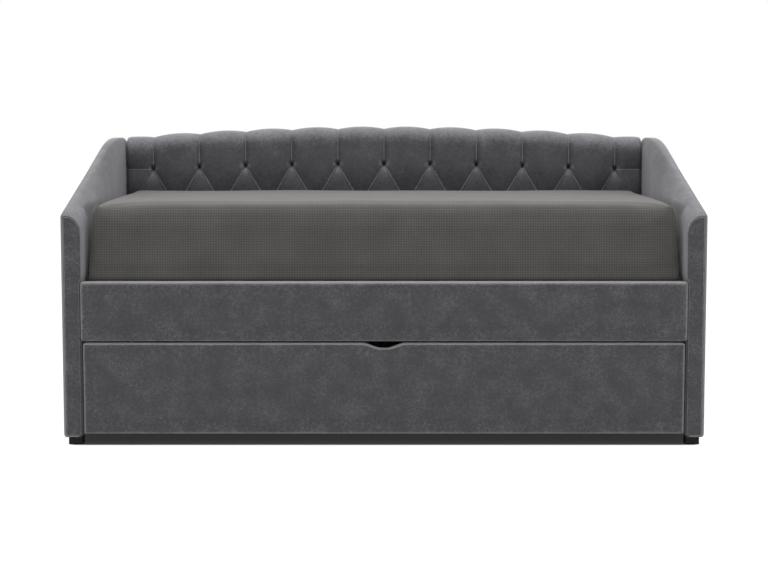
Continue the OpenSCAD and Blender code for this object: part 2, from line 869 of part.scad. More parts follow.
// Steel angles in the trundle's corners, above its slats
function angle_corners() = [[trundle_panel_t, 1], [trundle_rear_y - trundle_board_t, -1]];

module trundle_angles() {
    x = -trundle_w / 2 + trundle_board_t;
    z = trundle_slat_top_h + angle_lift;
    color(steel) from_front()
        for (side = [-1, 1], c = angle_corners())
            on_side(side)
                difference() {
                    union() {
                        box([x, min(c[0], c[0] + c[1] * angle_leg), z],
                            [x + angle_t, max(c[0], c[0] + c[1] * angle_leg), z + angle_h]);
                        box([x, min(c[0], c[0] + c[1] * angle_t), z],
                            [x + angle_leg, max(c[0], c[0] + c[1] * angle_t), z + angle_h]);
                    }
                    for (share = bracket_hole_shares)
                        bar_x(screw_r + screw_fit, 2 * overrun,
                            [x - overrun, c[0] + c[1] * angle_leg / 2, z + angle_h * share]);
                }
}

module trundle_screws() {
    x = -trundle_w / 2 + trundle_board_t + angle_t;
    z = trundle_slat_top_h + angle_lift;
    color(steel) from_front()
        for (side = [-1, 1], c = angle_corners(), share = bracket_hole_shares)
            on_side(side) translate([0, c[0] + c[1] * angle_leg / 2, z + angle_h * share]) {
                bar_x(screw_head_r, screw_head_h, [x, 0, 0]);
                bar_x(screw_r, angle_t, [x - angle_t, 0, 0]);
            }
}

// Casters

function caster_x() = -trundle_w / 2 + trundle_board_t + caster_edge_in;

function caster_y(place) =
    place == 0 ? trundle_panel_t + caster_setbacks[0]
    : trundle_rear_y - trundle_board_t - caster_setbacks[1];

// A fork of bent steel: a plate under the bearer and two cheeks that hold the axle
module caster_bracket(side, place) {
    inside = wheel_t / 2 + caster_side_gap;
    color(steel) from_front() on_side(side) translate([caster_x(), caster_y(place), 0])
        difference() {
            union() {
                translate([0, 0, caster_h - caster_plate_t])
                    linear_extrude(caster_plate_t)
                        rounded_square(caster_plate_w, caster_plate_d, caster_plate_r);
                for (x = [-inside - caster_cheek_t, inside])
                    translate([x, 0, 0]) {
                        box([0, -caster_cheek_w / 2, wheel_r],
                            [caster_cheek_t, caster_cheek_w / 2, caster_h - caster_plate_t]);
                        bar_x(caster_cheek_w / 2, caster_cheek_t, [0, 0, wheel_r]);
                    }
            }
            bar_x(axle_r + screw_fit, caster_plate_w, [-caster_plate_w / 2, 0, wheel_r]);
        }
}

module caster_axle(side, place) {
    half = wheel_t / 2 + caster_side_gap + caster_cheek_t;
    color(steel) from_front() on_side(side) translate([caster_x(), caster_y(place), wheel_r]) {
        bar_x(axle_r, 2 * half, [-half, 0, 0]);
        for (x = [-half - rivet_head_h, half]) bar_x(rivet_head_r, rivet_head_h, [x, 0, 0]);
    }
}

// A turned wheel with a grooved web between its hub and rim
module caster_wheel(side, place) {
    half = wheel_t / 2;
    bore = axle_r + wheel_fit;
    groove = half - wheel_groove_d;
    rim = wheel_r - wheel_rim_w;
    edge_at = wheel_r - wheel_edge_r;
    color(black) from_front() on_side(side) translate([caster_x(), caster_y(place), wheel_r])
        rotate([0, 90, 0])
            rotate_extrude()
                polygon(concat(
                    [[bore, -half], [wheel_hub_r, -half], [wheel_hub_r, -groove], [rim, -groove], [rim, -half]],
                    arc(edge_at, wheel_edge_r - half, wheel_edge_r, wheel_edge_r, -90, 0, wheel_edge_steps),
                    arc(edge_at, half - wheel_edge_r, wheel_edge_r, wheel_edge_r, 0, 90, wheel_edge_steps),
                    [[rim, half], [rim, groove], [wheel_hub_r, groove], [wheel_hub_r, half], [bore, half]]
                ));
}

// Nodes

module arm_frame_left() arm_frame(-1);
module arm_frame_right() arm_frame(1);
module arm_cover_left() arm_cover(-1);
module arm_cover_right() arm_cover(1);
module arm_facing_left() arm_facing(-1);
module arm_facing_right() arm_facing(1);
module slat_ledger_front() slat_ledger(rail_t, rail_t + ledger_s);
module slat_ledger_rear() slat_ledger(slat_rear_y - ledger_s, back_frame_front_y);
module foot_front_left() foot(-1, 0);
module foot_front_right() foot(1, 0);
module foot_rear_left() foot(-1, 1);
module foot_rear_right() foot(1, 1);
module trundle_ledger_front() trundle_timber(trundle_panel_t, ledger_s);
module trundle_ledger_rear() trundle_timber(trundle_rear_y - trundle_board_t - ledger_s, ledger_s);
module trundle_bearer_front() trundle_timber(caster_y(0) - bearer_w / 2, bearer_w);
module trundle_bearer_rear() trundle_timber(caster_y(1) - bearer_w / 2, bearer_w);
module trundle_side_left() trundle_side(-1);
module trundle_side_right() trundle_side(1);
module caster_bracket_front_left() caster_bracket(-1, 0);
module caster_bracket_front_right() caster_bracket(1, 0);
module caster_bracket_rear_left() caster_bracket(-1, 1);
module caster_bracket_rear_right() caster_bracket(1, 1);
module caster_axle_front_left() caster_axle(-1, 0);
module caster_axle_front_right() caster_axle(1, 0);
module caster_axle_rear_left() caster_axle(-1, 1);
module caster_axle_rear_right() caster_axle(1, 1);
module caster_wheel_front_left() caster_wheel(-1, 0);
module caster_wheel_front_right() caster_wheel(1, 0);
module caster_wheel_rear_left() caster_wheel(-1, 1);
module caster_wheel_rear_right() caster_wheel(1, 1);

arm_frame_left();
arm_frame_right();
arm_cover_left();
arm_cover_right();
arm_facing_left();
arm_facing_right();
back_end_posts();
back_rails();
back_uprights();
back_cushion();
back_rear_cover();
front_rail_board();
front_rail_cover();
slat_ledger_front();
slat_ledger_rear();
upper_slats();
upper_slat_straps();
corner_brackets();
corner_bolts();
corner_screws();
foot_front_left();
foot_front_right();
foot_rear_left();
foot_rear_right();
foot_studs();
mattress();
trundle_panel_board();
trundle_panel_cover();
trundle_ledger_front();
trundle_ledger_rear();
trundle_bearer_front();
trundle_bearer_rear();
trundle_side_left();
trundle_side_right();
trundle_back_board();
trundle_slats();
trundle_slat_straps();
trundle_angles();
trundle_screws();
caster_bracket_front_left();
caster_bracket_front_right();
caster_bracket_rear_left();
caster_bracket_rear_right();
caster_axle_front_left();
caster_axle_front_right();
caster_axle_rear_left();
caster_axle_rear_right();
caster_wheel_front_left();
caster_wheel_front_right();
caster_wheel_rear_left();
caster_wheel_rear_right();
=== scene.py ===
# %% [markdown]
# # An upholstered daybed with a roll-out trundle
# The construction model gives every board, bracket and wheel its real place.
# Here the soft covers are dressed over it: each velvet or fabric piece is made
# as a skin of even squares, filled by a cloth simulation and then finished.

# %% Load the construction model
import bpy
import json
import math
import numpy as np
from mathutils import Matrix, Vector
from mathutils.bvhtree import BVHTree


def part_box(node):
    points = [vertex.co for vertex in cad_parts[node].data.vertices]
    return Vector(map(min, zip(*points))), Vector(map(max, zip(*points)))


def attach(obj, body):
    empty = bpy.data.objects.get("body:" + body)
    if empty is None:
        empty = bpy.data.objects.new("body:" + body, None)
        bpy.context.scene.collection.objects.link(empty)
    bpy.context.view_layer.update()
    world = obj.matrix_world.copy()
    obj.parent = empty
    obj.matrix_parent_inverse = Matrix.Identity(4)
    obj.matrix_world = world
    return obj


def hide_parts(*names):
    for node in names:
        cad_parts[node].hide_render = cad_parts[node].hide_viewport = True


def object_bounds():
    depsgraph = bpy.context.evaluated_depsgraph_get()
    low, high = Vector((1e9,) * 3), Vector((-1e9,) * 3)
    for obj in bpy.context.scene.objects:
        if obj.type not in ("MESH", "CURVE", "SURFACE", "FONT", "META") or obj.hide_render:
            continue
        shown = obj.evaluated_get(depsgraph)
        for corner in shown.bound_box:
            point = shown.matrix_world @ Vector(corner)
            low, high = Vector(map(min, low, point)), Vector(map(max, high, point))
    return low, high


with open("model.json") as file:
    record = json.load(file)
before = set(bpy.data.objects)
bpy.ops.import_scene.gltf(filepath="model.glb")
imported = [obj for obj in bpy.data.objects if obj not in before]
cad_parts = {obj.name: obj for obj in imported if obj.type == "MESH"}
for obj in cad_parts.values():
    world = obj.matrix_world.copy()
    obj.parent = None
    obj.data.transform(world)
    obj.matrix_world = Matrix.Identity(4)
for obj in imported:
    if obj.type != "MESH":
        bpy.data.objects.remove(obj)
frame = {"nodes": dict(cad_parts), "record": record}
nodes = frame["nodes"]
cad_low, cad_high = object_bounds()
front = cad_low.y
print("loaded", len(nodes), "construction pieces, box", tuple(cad_low), tuple(cad_high))

# %% [markdown]
# ## Small helpers
# Objects are put in the scene and settings are filled in many times below.
# The backdrop and the finishes are made of nodes that are wired together, so
# other helpers make a node, wire it to the next and do sums with numbers.

# %% Making objects and nodes
def place(name, data):
    """A new object in the scene."""
    made = bpy.data.objects.new(name, data)
    bpy.context.scene.collection.objects.link(made)
    return made


def set_all(thing, **values):
    for key, value in values.items():
        setattr(thing, key, value)


def link(tree, out_node, out_name, in_node, in_name):
    tree.links.new(out_node.outputs[out_name], in_node.inputs[in_name])


def fill_in(node, **values):
    """Fills in a node's sockets or its settings by name, with _ for a space."""
    for key, value in values.items():
        socket = key.replace("_", " ")
        if socket in node.inputs:
            node.inputs[socket].default_value = value
        else:
            setattr(node, key, value)


def add(tree, kind, **values):
    made = tree.nodes.new(kind)
    fill_in(made, **values)
    return made


def reckon(tree, operation, *sources):
    """A math node on numbers and on pairs of a node and the name of its output."""
    made = add(tree, "ShaderNodeMath", operation=operation)
    for k, source in enumerate(sources):
        if isinstance(source, tuple):
            link(tree, *source, made, k)
        else:
            made.inputs[k].default_value = source
    return made


print("helpers ready")

# %% [markdown]
# ## The camera
# The bed was seen from straight in front, a little over a metre up, with a
# lens long enough that its sides hardly converge. A level camera would show
# less of the mattress, so it tips down by a few degrees.

# %% Camera
camera_height = 1.064
camera_distance = 5.631
camera_pitch = 5.62
focal_pixels = 1764
picture_w = 768
sensor_w = 36

camera_data = bpy.data.cameras.new("camera")
camera_data.sensor_width = sensor_w
camera_data.lens = focal_pixels / picture_w * sensor_w
camera = place("camera", camera_data)
camera.location = (0, front - camera_distance, camera_height)
camera.rotation_euler = (math.radians(90 - camera_pitch), 0, 0)
bpy.context.scene.camera = camera
print("camera lens", round(camera_data.lens, 2), "mm")

# %% [markdown]
# ## The studio
# A white dome lights the bed from everywhere at once, so the tops of padded
# things are about twice as bright as their fronts and the gaps between pieces
# are dark, which is what shows their roundness. Two large, weak lamps only
# give the light a direction.

# %% Lamps
def soft_lamp(name, spot, aim, width, height, power):
    data = bpy.data.lights.new(name, "AREA")
    set_all(data, shape="RECTANGLE", size=width, size_y=height, energy=power)
    lamp = place(name, data)
    lamp.location = spot
    lamp.rotation_euler = (Vector(aim) - Vector(spot)).to_track_quat("-Z", "Y").to_euler()


bed_middle = (0, 0, 0.5)
soft_lamp("overhead", (0, -0.3, 3.3), (0, -0.3, 0.5), width=4.2, height=2.6, power=14)
soft_lamp("front_fill", (0, -4.6, 1.3), bed_middle, width=4.6, height=2.0, power=8)
print("two soft lamps")

# %% [markdown]
# ## The backdrop
# The photograph's background is pure white. More light would bleach the bed,
# so the world is a plain white dome at a strength of 1, and the floor below
# can tell a ray from the camera from one that carries light to the bed.

# %% White dome
def sees_backdrop(tree):
    """Gives 1 for rays from the camera, a mirror or a glass, and 0 for all others."""
    path = add(tree, "ShaderNodeLightPath")
    both = reckon(tree, "MAXIMUM", (path, "Is Camera Ray"), (path, "Is Glossy Ray"))
    return reckon(tree, "MAXIMUM", (both, 0), (path, "Is Transmission Ray"))


dome_strength = 1.0
world = bpy.data.worlds.new("studio")
bpy.context.scene.world = world
world.use_nodes = True
fill_in(world.node_tree.nodes["Background"], Color=(1, 1, 1, 1), Strength=dome_strength)
bpy.context.scene.view_settings.view_transform = "Standard"
print("white dome of strength", dome_strength)

# %% [markdown]
# ## The floor
# A real floor is one large sheet of paper. To the camera it is white, and to
# the bed it is rather dark, because a white floor would light the undersides
# more than the photograph shows.

# %% Floor plane
floor_size = 60
floor_tone = 0.15

bpy.ops.object.select_all(action="DESELECT")
bpy.ops.mesh.primitive_plane_add(size=floor_size, location=(0, 0, 0))
floor = bpy.context.object
floor.name = "floor"
floor_paint = bpy.data.materials.new("white_floor")
floor_paint.use_nodes = True
floor_tree = floor_paint.node_tree
floor_tree.nodes.remove(floor_tree.nodes["Principled BSDF"])
floor_shade = add(floor_tree, "ShaderNodeBsdfDiffuse")
floor_mix = add(floor_tree, "ShaderNodeMapRange", To_Min=floor_tone)
link(floor_tree, sees_backdrop(floor_tree), 0, floor_mix, "Value")
link(floor_tree, floor_mix, "Result", floor_shade, "Color")
floor.data.materials.append(floor_paint)
print("floor", floor_size, "m wide")

# %% [markdown]
# Close to the bed even white paper is in its shade, but the photograph's is
# cut out white right up to the feet. So the floor glows a little for the
# camera only, most beside the bed and less further out, where the trundle's
# shadow has to show. Under the bed it doesn't glow, and to the camera its
# tone is painted much darker, a painted shadow.

# %% White up to the bed
floor_camera_tone = 0.9
floor_tone_under_bed = 0.06
glow_under_edge = 0.03
glow_beside_bed = 0.55
glow_lost_further_out = 0.3
shade_reach = 0.02
glow_reach = 0.03
fading_reach = 0.6
shade_inset_x = 0.035
shade_inset_y = 0.008
floor_place = add(floor_tree, "ShaderNodeTexCoord")
floor_split = add(floor_tree, "ShaderNodeSeparateXYZ")
link(floor_tree, floor_place, "Object", floor_split, "Vector")


def past_bed(axis, half):
    """How far a point of the floor lies outside the bed along one axis."""
    size = reckon(floor_tree, "ABSOLUTE", (floor_split, axis))
    return reckon(floor_tree, "SUBTRACT", (size, 0), half)


def rise(source, reach, low, high):
    """A smooth rise from low at the bed to high at some reach from it."""
    made = add(floor_tree, "ShaderNodeMapRange", interpolation_type="SMOOTHSTEP",
               From_Max=reach, To_Min=low, To_Max=high)
    link(floor_tree, source, 0, made, "Value")
    return made


past_side = past_bed("X", cad_high.x - shade_inset_x)
past_front = past_bed("Y", cad_high.y - shade_inset_y)
outside = reckon(floor_tree, "MAXIMUM", (past_side, 0), (past_front, 0))
# A painted shadow: to the camera, the floor under the bed is darkened to floor_tone_under_bed.
under_bed = rise(outside, shade_reach, floor_tone_under_bed, floor_camera_tone)
link(floor_tree, under_bed, "Result", floor_mix, "To Max")
near_glow = rise(outside, glow_reach, glow_under_edge, glow_beside_bed)
far_glow = rise(outside, fading_reach, 0, -glow_lost_further_out)
glow = reckon(floor_tree, "ADD", (near_glow, 0), (far_glow, 0))
seen_glow = reckon(floor_tree, "MULTIPLY", (glow, 0), (sees_backdrop(floor_tree), 0))
floor_white = add(floor_tree, "ShaderNodeEmission")
link(floor_tree, seen_glow, 0, floor_white, "Strength")
floor_both = add(floor_tree, "ShaderNodeAddShader")
link(floor_tree, floor_shade, "BSDF", floor_both, 0)
link(floor_tree, floor_white, "Emission", floor_both, 1)
link(floor_tree, floor_both, "Shader", floor_tree.nodes["Material Output"], "Surface")
print("floor glows from", shade_inset_x * 1000, "mm inside the bed's sides")

# %% [markdown]
# ## Building a material
# A material is a small machine of nodes: noise gives a number at each place,
# a ramp turns the number into a colour, and a bump turns it into a surface.
# The same few steps come back in every finish, so each is a helper. They
# read the piece's own coordinates, in metres, so patterns keep their size.

# %% Small helpers for materials
def fresh_material(name):
    material = bpy.data.materials.new(name)
    material.use_nodes = True
    tree = material.node_tree
    return material, tree, tree.nodes["Principled BSDF"]


def noise(tree, scale, detail=2.0, stretch=(1, 1, 1)):
    """Noise over the piece's own coordinates, in metres."""
    where = add(tree, "ShaderNodeTexCoord")
    squeeze = add(tree, "ShaderNodeMapping", Scale=stretch)
    made = add(tree, "ShaderNodeTexNoise", Scale=scale, Detail=detail)
    link(tree, where, "Object", squeeze, "Vector")
    link(tree, squeeze, "Vector", made, "Vector")
    return made


def weigh(tree, source, out_name, share, offset=0.0):
    """share times a value, plus offset."""
    return reckon(tree, "MULTIPLY_ADD", (source, out_name), share, offset)


def centred(tree, source, share, middle=0.0):
    """share times a noise, moved so that it varies about a middle value."""
    return weigh(tree, source, "Fac", share, middle - share / 2)


def total(tree, first, second):
    return reckon(tree, "ADD", (first, 0), (second, 0))


def paint(tree, shader, source, out_name, stops):
    """Colours the finish by a ramp with stops, from a number between 0 and 1."""
    made = add(tree, "ShaderNodeValToRGB")
    link(tree, source, out_name, made, "Fac")
    band = made.color_ramp.elements
    band[0].position, band[0].color = stops[0][0], (*stops[0][1], 1)
    band[1].position, band[1].color = stops[-1][0], (*stops[-1][1], 1)
    for share, colour in stops[1:-1]:
        band.new(share).color = (*colour, 1)
    link(tree, made, "Color", shader, "Base Color")


def bump(tree, shader, source, out_name, strength, distance):
    made = add(tree, "ShaderNodeBump", Strength=strength, Distance=distance)
    link(tree, source, out_name, made, "Height")
    link(tree, made, "Normal", shader, "Normal")


print("material helpers ready")

# %% [markdown]
# ## Velvet
# Velvet is a cut pile. Seen face on it is dark, and seen along the surface the
# tips of the pile catch light, which the sheen layer gives. The pile also lies
# in slightly different directions, so the colour is mottled. Light and shade are
# also painted into the colour: painted highlights make rims, folds and tops paler,
# and painted shade makes pits and gaps nearly black. That painted light is kept
# on each piece in an attribute.

# %% Velvet
# The darkest stop below is painted shade, nearly black, reached only in pits and gaps.
velvet_painted_shade = (0.005, 0.0049, 0.0054)
velvet_dark = (0.046, 0.045, 0.049)
velvet_mid = (0.102, 0.0995, 0.108)
velvet_pale = (0.32, 0.315, 0.332)
painted_light_share = 0.5


def make_velvet():
    material, tree, shader = fresh_material("charcoal_velvet")
    blotch = noise(tree, 14, 5)
    brush_marks_and_painted_light = noise(tree, 80, 3)
    pile = noise(tree, 240, 2)
    painted_light = add(tree, "ShaderNodeAttribute", attribute_name="painted_light")
    marks = total(tree, centred(tree, blotch, 0.36), centred(tree, brush_marks_and_painted_light, 0.26))
    mottle = total(tree, marks, centred(tree, pile, 0.46, 0.5))
    # Adds the painted light and shade kept on the piece.
    shade = total(tree, mottle, weigh(tree, painted_light, "Fac", painted_light_share))
    stops = [(0.0, velvet_painted_shade), (0.1, velvet_dark), (0.5, velvet_mid), (1.0, velvet_pale)]
    paint(tree, shader, shade, 0, stops)
    fill_in(shader, Roughness=0.85, Specular_IOR_Level=0.2, Sheen_Weight=0.6,
            Sheen_Roughness=0.4, Sheen_Tint=(0.80, 0.79, 0.83, 1))
    bump(tree, shader, pile, "Fac", strength=0.25, distance=0.0008)
    return material


velvet = make_velvet()
print("velvet made")

# %% [markdown]
# ## The mattress cover
# The cover is a fine waffle weave: raised threads about every 8 mm, both ways,
# in a warm grey. The pattern has to follow the cloth, so it reads the
# piece's own map, which is laid out in metres on every side.

# %% Waffle weave
waffle_pitch = 0.0082
waffle_dark = (0.062, 0.059, 0.056)
waffle_mid = (0.106, 0.101, 0.0955)
waffle_pale = (0.170, 0.161, 0.152)


def make_waffle():
    material, tree, shader = fresh_material("waffle_cover")
    cloth_map = add(tree, "ShaderNodeUVMap", uv_map="cloth")
    split = add(tree, "ShaderNodeSeparateXYZ")
    link(tree, cloth_map, "UV", split, "Vector")
    threads = []
    for axis in ("X", "Y"):
        turns = weigh(tree, split, axis, 2 * math.pi / waffle_pitch)
        wave = reckon(tree, "SINE", (turns, 0))
        threads.append(weigh(tree, wave, 0, 0.25, 0.25))
    grid = total(tree, *threads)
    blotch = noise(tree, 9, 4)
    fibre = noise(tree, 260, 2)
    worn = total(tree, centred(tree, blotch, 0.35), centred(tree, fibre, 0.3))
    # The attribute adds painted light, a little paler towards the top, and painted shade along the
    # bottom edge.
    painted_light = add(tree, "ShaderNodeAttribute", attribute_name="painted_light")
    lit = total(tree, weigh(tree, grid, 0, 0.4, 0.3), weigh(tree, painted_light, "Fac", painted_light_share))
    shade = total(tree, lit, worn)
    stops = [(0.1, waffle_dark), (0.5, waffle_mid), (0.9, waffle_pale)]
    paint(tree, shader, shade, 0, stops)
    fill_in(shader, Roughness=0.9, Specular_IOR_Level=0.15, Sheen_Weight=0.35,
            Sheen_Roughness=0.5, Sheen_Tint=(0.80, 0.79, 0.77, 1))
    bump(tree, shader, grid, 0, strength=0.35, distance=0.0012)
    return material


waffle = make_waffle()
print("waffle weave made")

# %% [markdown]
# ## Timber and plywood
# The hidden parts deserve a finish too, because the bed is also seen with its
# mattress lifted and the trundle out. Sawn pine shows long grain along each
# board, which noise gives when it is squeezed along one axis, so there is one
# pine for each direction. Plywood has a paler face with fine streaks.

# %% Timber and plywood
def make_wood(name, stretch, dark, pale, rings):
    material, tree, shader = fresh_material(name)
    grain = noise(tree, rings, 6, stretch)
    fibre = noise(tree, rings * 9, 3, stretch)
    shade = total(tree, centred(tree, grain, 0.9, 0.5), centred(tree, fibre, 0.3))
    paint(tree, shader, shade, 0, [(0.3, dark), (0.7, pale)])
    fill_in(shader, Roughness=0.62)
    bump(tree, shader, fibre, "Fac", strength=0.2, distance=0.0006)
    return material


pine_dark, pine_pale = (0.42, 0.27, 0.14), (0.66, 0.49, 0.30)
pine_x = make_wood("sawn_pine_along", (0.04, 1, 1), pine_dark, pine_pale, 34)
pine_y = make_wood("sawn_pine_across", (1, 0.04, 1), pine_dark, pine_pale, 34)
pine_z = make_wood("sawn_pine_upright", (1, 1, 0.04), pine_dark, pine_pale, 34)
ply = make_wood("birch_plywood", (0.05, 0.05, 1), (0.52, 0.38, 0.23), (0.72, 0.58, 0.40), 22)
print("four woods made")

# %% [markdown]
# ## Webbing, zinc plate and plastic
# The straps between the slats are woven diagonally, which a distorted wave
# gives. Zinc plate has faint crystals, so its colour and its gloss change
# together. Feet and wheels are moulded plastic with a fine, even grain.

# %% Webbing, zinc plate and black plastic
def make_webbing():
    material, tree, shader = fresh_material("woven_webbing")
    where = add(tree, "ShaderNodeTexCoord")
    weave = add(tree, "ShaderNodeTexWave", Scale=160, Distortion=1.2, bands_direction="DIAGONAL")
    link(tree, where, "Object", weave, "Vector")
    stops = [(0.0, (0.012, 0.012, 0.012)), (1.0, (0.05, 0.05, 0.05))]
    paint(tree, shader, weave, "Fac", stops)
    fill_in(shader, Roughness=0.85)
    bump(tree, shader, weave, "Fac", strength=0.4, distance=0.0006)
    return material


def make_zinc():
    material, tree, shader = fresh_material("zinc_plated_steel")
    spangle = noise(tree, 90, 3)
    stops = [(0.3, (0.46, 0.47, 0.49)), (0.7, (0.64, 0.65, 0.67))]
    paint(tree, shader, spangle, "Fac", stops)
    rough = add(tree, "ShaderNodeMapRange", To_Min=0.28, To_Max=0.5)
    link(tree, spangle, "Fac", rough, "Value")
    link(tree, rough, "Result", shader, "Roughness")
    fill_in(shader, Metallic=1.0)
    return material


def make_plastic(name, dark, pale, roughness, grain):
    material, tree, shader = fresh_material(name)
    speck = noise(tree, grain, 3)
    paint(tree, shader, speck, "Fac", [(0.35, dark), (0.65, pale)])
    fill_in(shader, Roughness=roughness, Specular_IOR_Level=0.2)
    bump(tree, shader, speck, "Fac", strength=0.15, distance=0.0004)
    return material


webbing = make_webbing()
zinc = make_zinc()
foot_black = make_plastic("black_foot", (0.004, 0.004, 0.0043), (0.009, 0.009, 0.0094), 0.6, 420)
wheel_black = make_plastic("black_nylon", (0.011, 0.011, 0.0115), (0.02, 0.02, 0.021), 0.42, 300)
print("webbing, zinc and two plastics made")

# %% [markdown]
# ## The pieces that stay as they are
# Boards, slats, brackets and wheels already have their true shape, so they
# only get a finish, by the kind of stuff the record names for them.

# %% Finish the construction pieces that stay in view
finishes = {
    "timber": pine_x,
    "plywood": ply,
    "webbing": webbing,
    "zinc_steel": zinc,
    "black_foot": foot_black,
    "wheel_plastic": wheel_black,
    "velvet": velvet,
    "waffle_cover": waffle,
}
pine_by_piece = {
    "upper_slats": pine_y,
    "trundle_slats": pine_y,
    "arm_frame_left": pine_y,
    "arm_frame_right": pine_y,
    "back_end_posts": pine_z,
    "back_uprights": pine_z,
}
for part in frame["record"]["subparts"]:
    piece = nodes[part["node"]]
    piece.data.materials.clear()
    piece.data.materials.append(pine_by_piece.get(part["node"], finishes[part["material_slot"]]))

# %% [markdown]
# ## How the soft pieces are made
# Every cover starts as a row of rings, like the hoops of a barrel. Even
# squares between the rings take a cloth simulation and a subdivision
# well, which a boolean or a remeshed block wouldn't. The end rings are
# closed by a ladder of squares from one side of the ring to the other.

# %% A skin over a row of rings
def skin(name, rings, body, node, material=velvet):
    """A closed skin over rings, in the place of a construction piece."""
    count, around = rings.shape[:2]
    points = rings.reshape(-1, 3)
    faces = []
    for k in range(count - 1):
        for j in range(around):
            a, b = k * around + j, k * around + (j + 1) % around
            faces.append((a, b, b + around, a + around))
    last = (count - 1) * around
    for j in range(around // 2 - 1):
        a, b, c, d = j, j + 1, around - 2 - j, around - 1 - j
        faces.append((d, c, b, a))
        faces.append((last + a, last + b, last + c, last + d))
    mesh = bpy.data.meshes.new(name)
    mesh.from_pydata(points.tolist(), [], faces)
    mesh.materials.append(material)
    piece = place(name, mesh)
    work_on(piece)
    bpy.ops.object.mode_set(mode="EDIT")
    bpy.ops.mesh.select_all(action="SELECT")
    bpy.ops.mesh.normals_make_consistent(inside=False)
    bpy.ops.object.mode_set(mode="OBJECT")
    stand_for(piece, body, node)
    return piece


def stand_for(piece, body, node):
    """Moves a piece with its body, and hides what it replaces."""
    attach(piece, body)
    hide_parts(node)


def work_on(piece):
    bpy.ops.object.select_all(action="DESELECT")
    piece.select_set(True)
    bpy.context.view_layer.objects.active = piece


def coordinates(piece):
    """The piece's points as rows of x, y, z."""
    flat = np.empty(len(piece.data.vertices) * 3)
    piece.data.vertices.foreach_get("co", flat)
    return flat.reshape(-1, 3)


def set_coordinates(piece, points):
    piece.data.vertices.foreach_set("co", points.ravel())
    piece.data.update()


print("skin helpers ready")

# %% [markdown]
# Almost every edge of upholstery is a roll, because foam rounds whatever is
# pulled over it. So a ring is made of quarter turns with straight runs
# between them, and points lie closer together where the cloth turns.

# %% Rolls and rings
def quarter(centre, radii, start, steps):
    """Points of a quarter turn that begins at start degrees."""
    turn = np.radians(start + 90 * np.linspace(0, 1, steps + 1))
    return np.stack([centre[0] + radii[0] * np.cos(turn), centre[1] + radii[1] * np.sin(turn)], 1)


def joined(turns, steps):
    """A ring of quarter turns, with straight runs of so many steps after each."""
    ring = []
    for k, turn in enumerate(turns):
        ring.append(turn)
        end, start = turn[-1], turns[(k + 1) % len(turns)][0]
        share = np.linspace(0, 1, steps[k] + 1)[1:-1, None]
        ring.append(end + (start - end) * share)
    return np.concatenate(ring)


def rounded(low, high, low_roll, high_roll, steps):
    """The quarter turns of an outline from low to high. A roll is its width and
    its height, and steps are those of the lower and the upper turns."""
    (x0, y0), (x1, y1) = low, high
    (low_w, low_h), (high_w, high_h) = low_roll, high_roll
    return [
        quarter((x0 + low_w, y0 + low_h), low_roll, 180, steps[0]),
        quarter((x1 - low_w, y0 + low_h), low_roll, 270, steps[0]),
        quarter((x1 - high_w, y1 - high_h), high_roll, 0, steps[1]),
        quarter((x0 + high_w, y1 - high_h), high_roll, 90, steps[1]),
    ]


def upright_ring(x, section, shift):
    """A ring at x, shifted round so that its ladder runs from side to side."""
    return np.roll(np.column_stack([np.full(len(section), x), section]), shift, axis=0)


def rounding(distance, radius):
    """How far a rolled edge lies behind its face, at a distance in from the edge."""
    over = np.clip(radius - distance, 0, radius)
    return radius - np.sqrt(radius ** 2 - over ** 2)


def eased(length, radius, step, roll_steps):
    """Places along a length: close together over the rolled ends, even between."""
    turn = np.linspace(0, math.pi / 2, roll_steps + 1)
    start = radius * (1 - np.cos(turn))
    middle = np.linspace(radius, length - radius, max(2, round((length - 2 * radius) / step)) + 1)
    return np.concatenate([start, middle[1:-1], length - start[::-1]])


def smooth_step(value):
    share = np.clip(value, 0, 1)
    return share * share * (3 - 2 * share)


def hump(distance, width):
    """1 at a distance of 0, falling off smoothly over a width."""
    return np.exp(-(distance / width) ** 2)


roll_back = rounding(0.002, 0.010) * 1000
print("a roll of 10 mm lies", round(roll_back, 1), "mm back at 2 mm from its edge")

# %% [markdown]
# ## Stuffing
# Foam pushes the cover outwards wherever it isn't sewn or stapled down. A
# cloth simulation with a little pressure gives those soft changes of level,
# which no formula does as well. How far a point may move is capped, because
# foam fills its cover but doesn't blow it up like a balloon.

# %% Filling a skin with the cloth simulation
pin_levels = 10
moments = 20


def fill_out(piece, free, pressure, most):
    """Blows the skin up like stuffing would. free is 1 where a point may move and
    0 where it is sewn or glued down, and most caps how far it goes."""
    before = coordinates(piece)
    sewn = piece.vertex_groups.new(name="sewn")
    for level in range(pin_levels + 1):
        chosen = np.flatnonzero(np.round((1 - free) * pin_levels) == level)
        sewn.add(chosen.tolist(), level / pin_levels, "REPLACE")
    cloth = piece.modifiers.new("filling", "CLOTH")
    set_all(cloth.settings, quality=2, mass=0.3, tension_stiffness=10,
            compression_stiffness=10, bending_stiffness=0.5, vertex_group_mass="sewn",
            use_pressure=True, uniform_pressure_force=pressure)
    cloth.settings.effector_weights.gravity = 0
    set_all(cloth.point_cache, frame_start=1, frame_end=moments)
    for moment in range(1, moments + 1):
        bpy.context.scene.frame_set(moment)
    work_on(piece)
    bpy.ops.object.modifier_apply(modifier=cloth.name)
    bpy.context.scene.frame_set(1)
    piece.vertex_groups.clear()
    moved = coordinates(piece) - before
    length = np.linalg.norm(moved, axis=1, keepdims=True)
    capped = moved * np.minimum(1, most / np.maximum(length, 1e-9)) * free[:, None]
    set_coordinates(piece, before + capped)
    print(piece.name, "filled out by up to", round(float(np.abs(capped).max()) * 1000, 1), "mm")


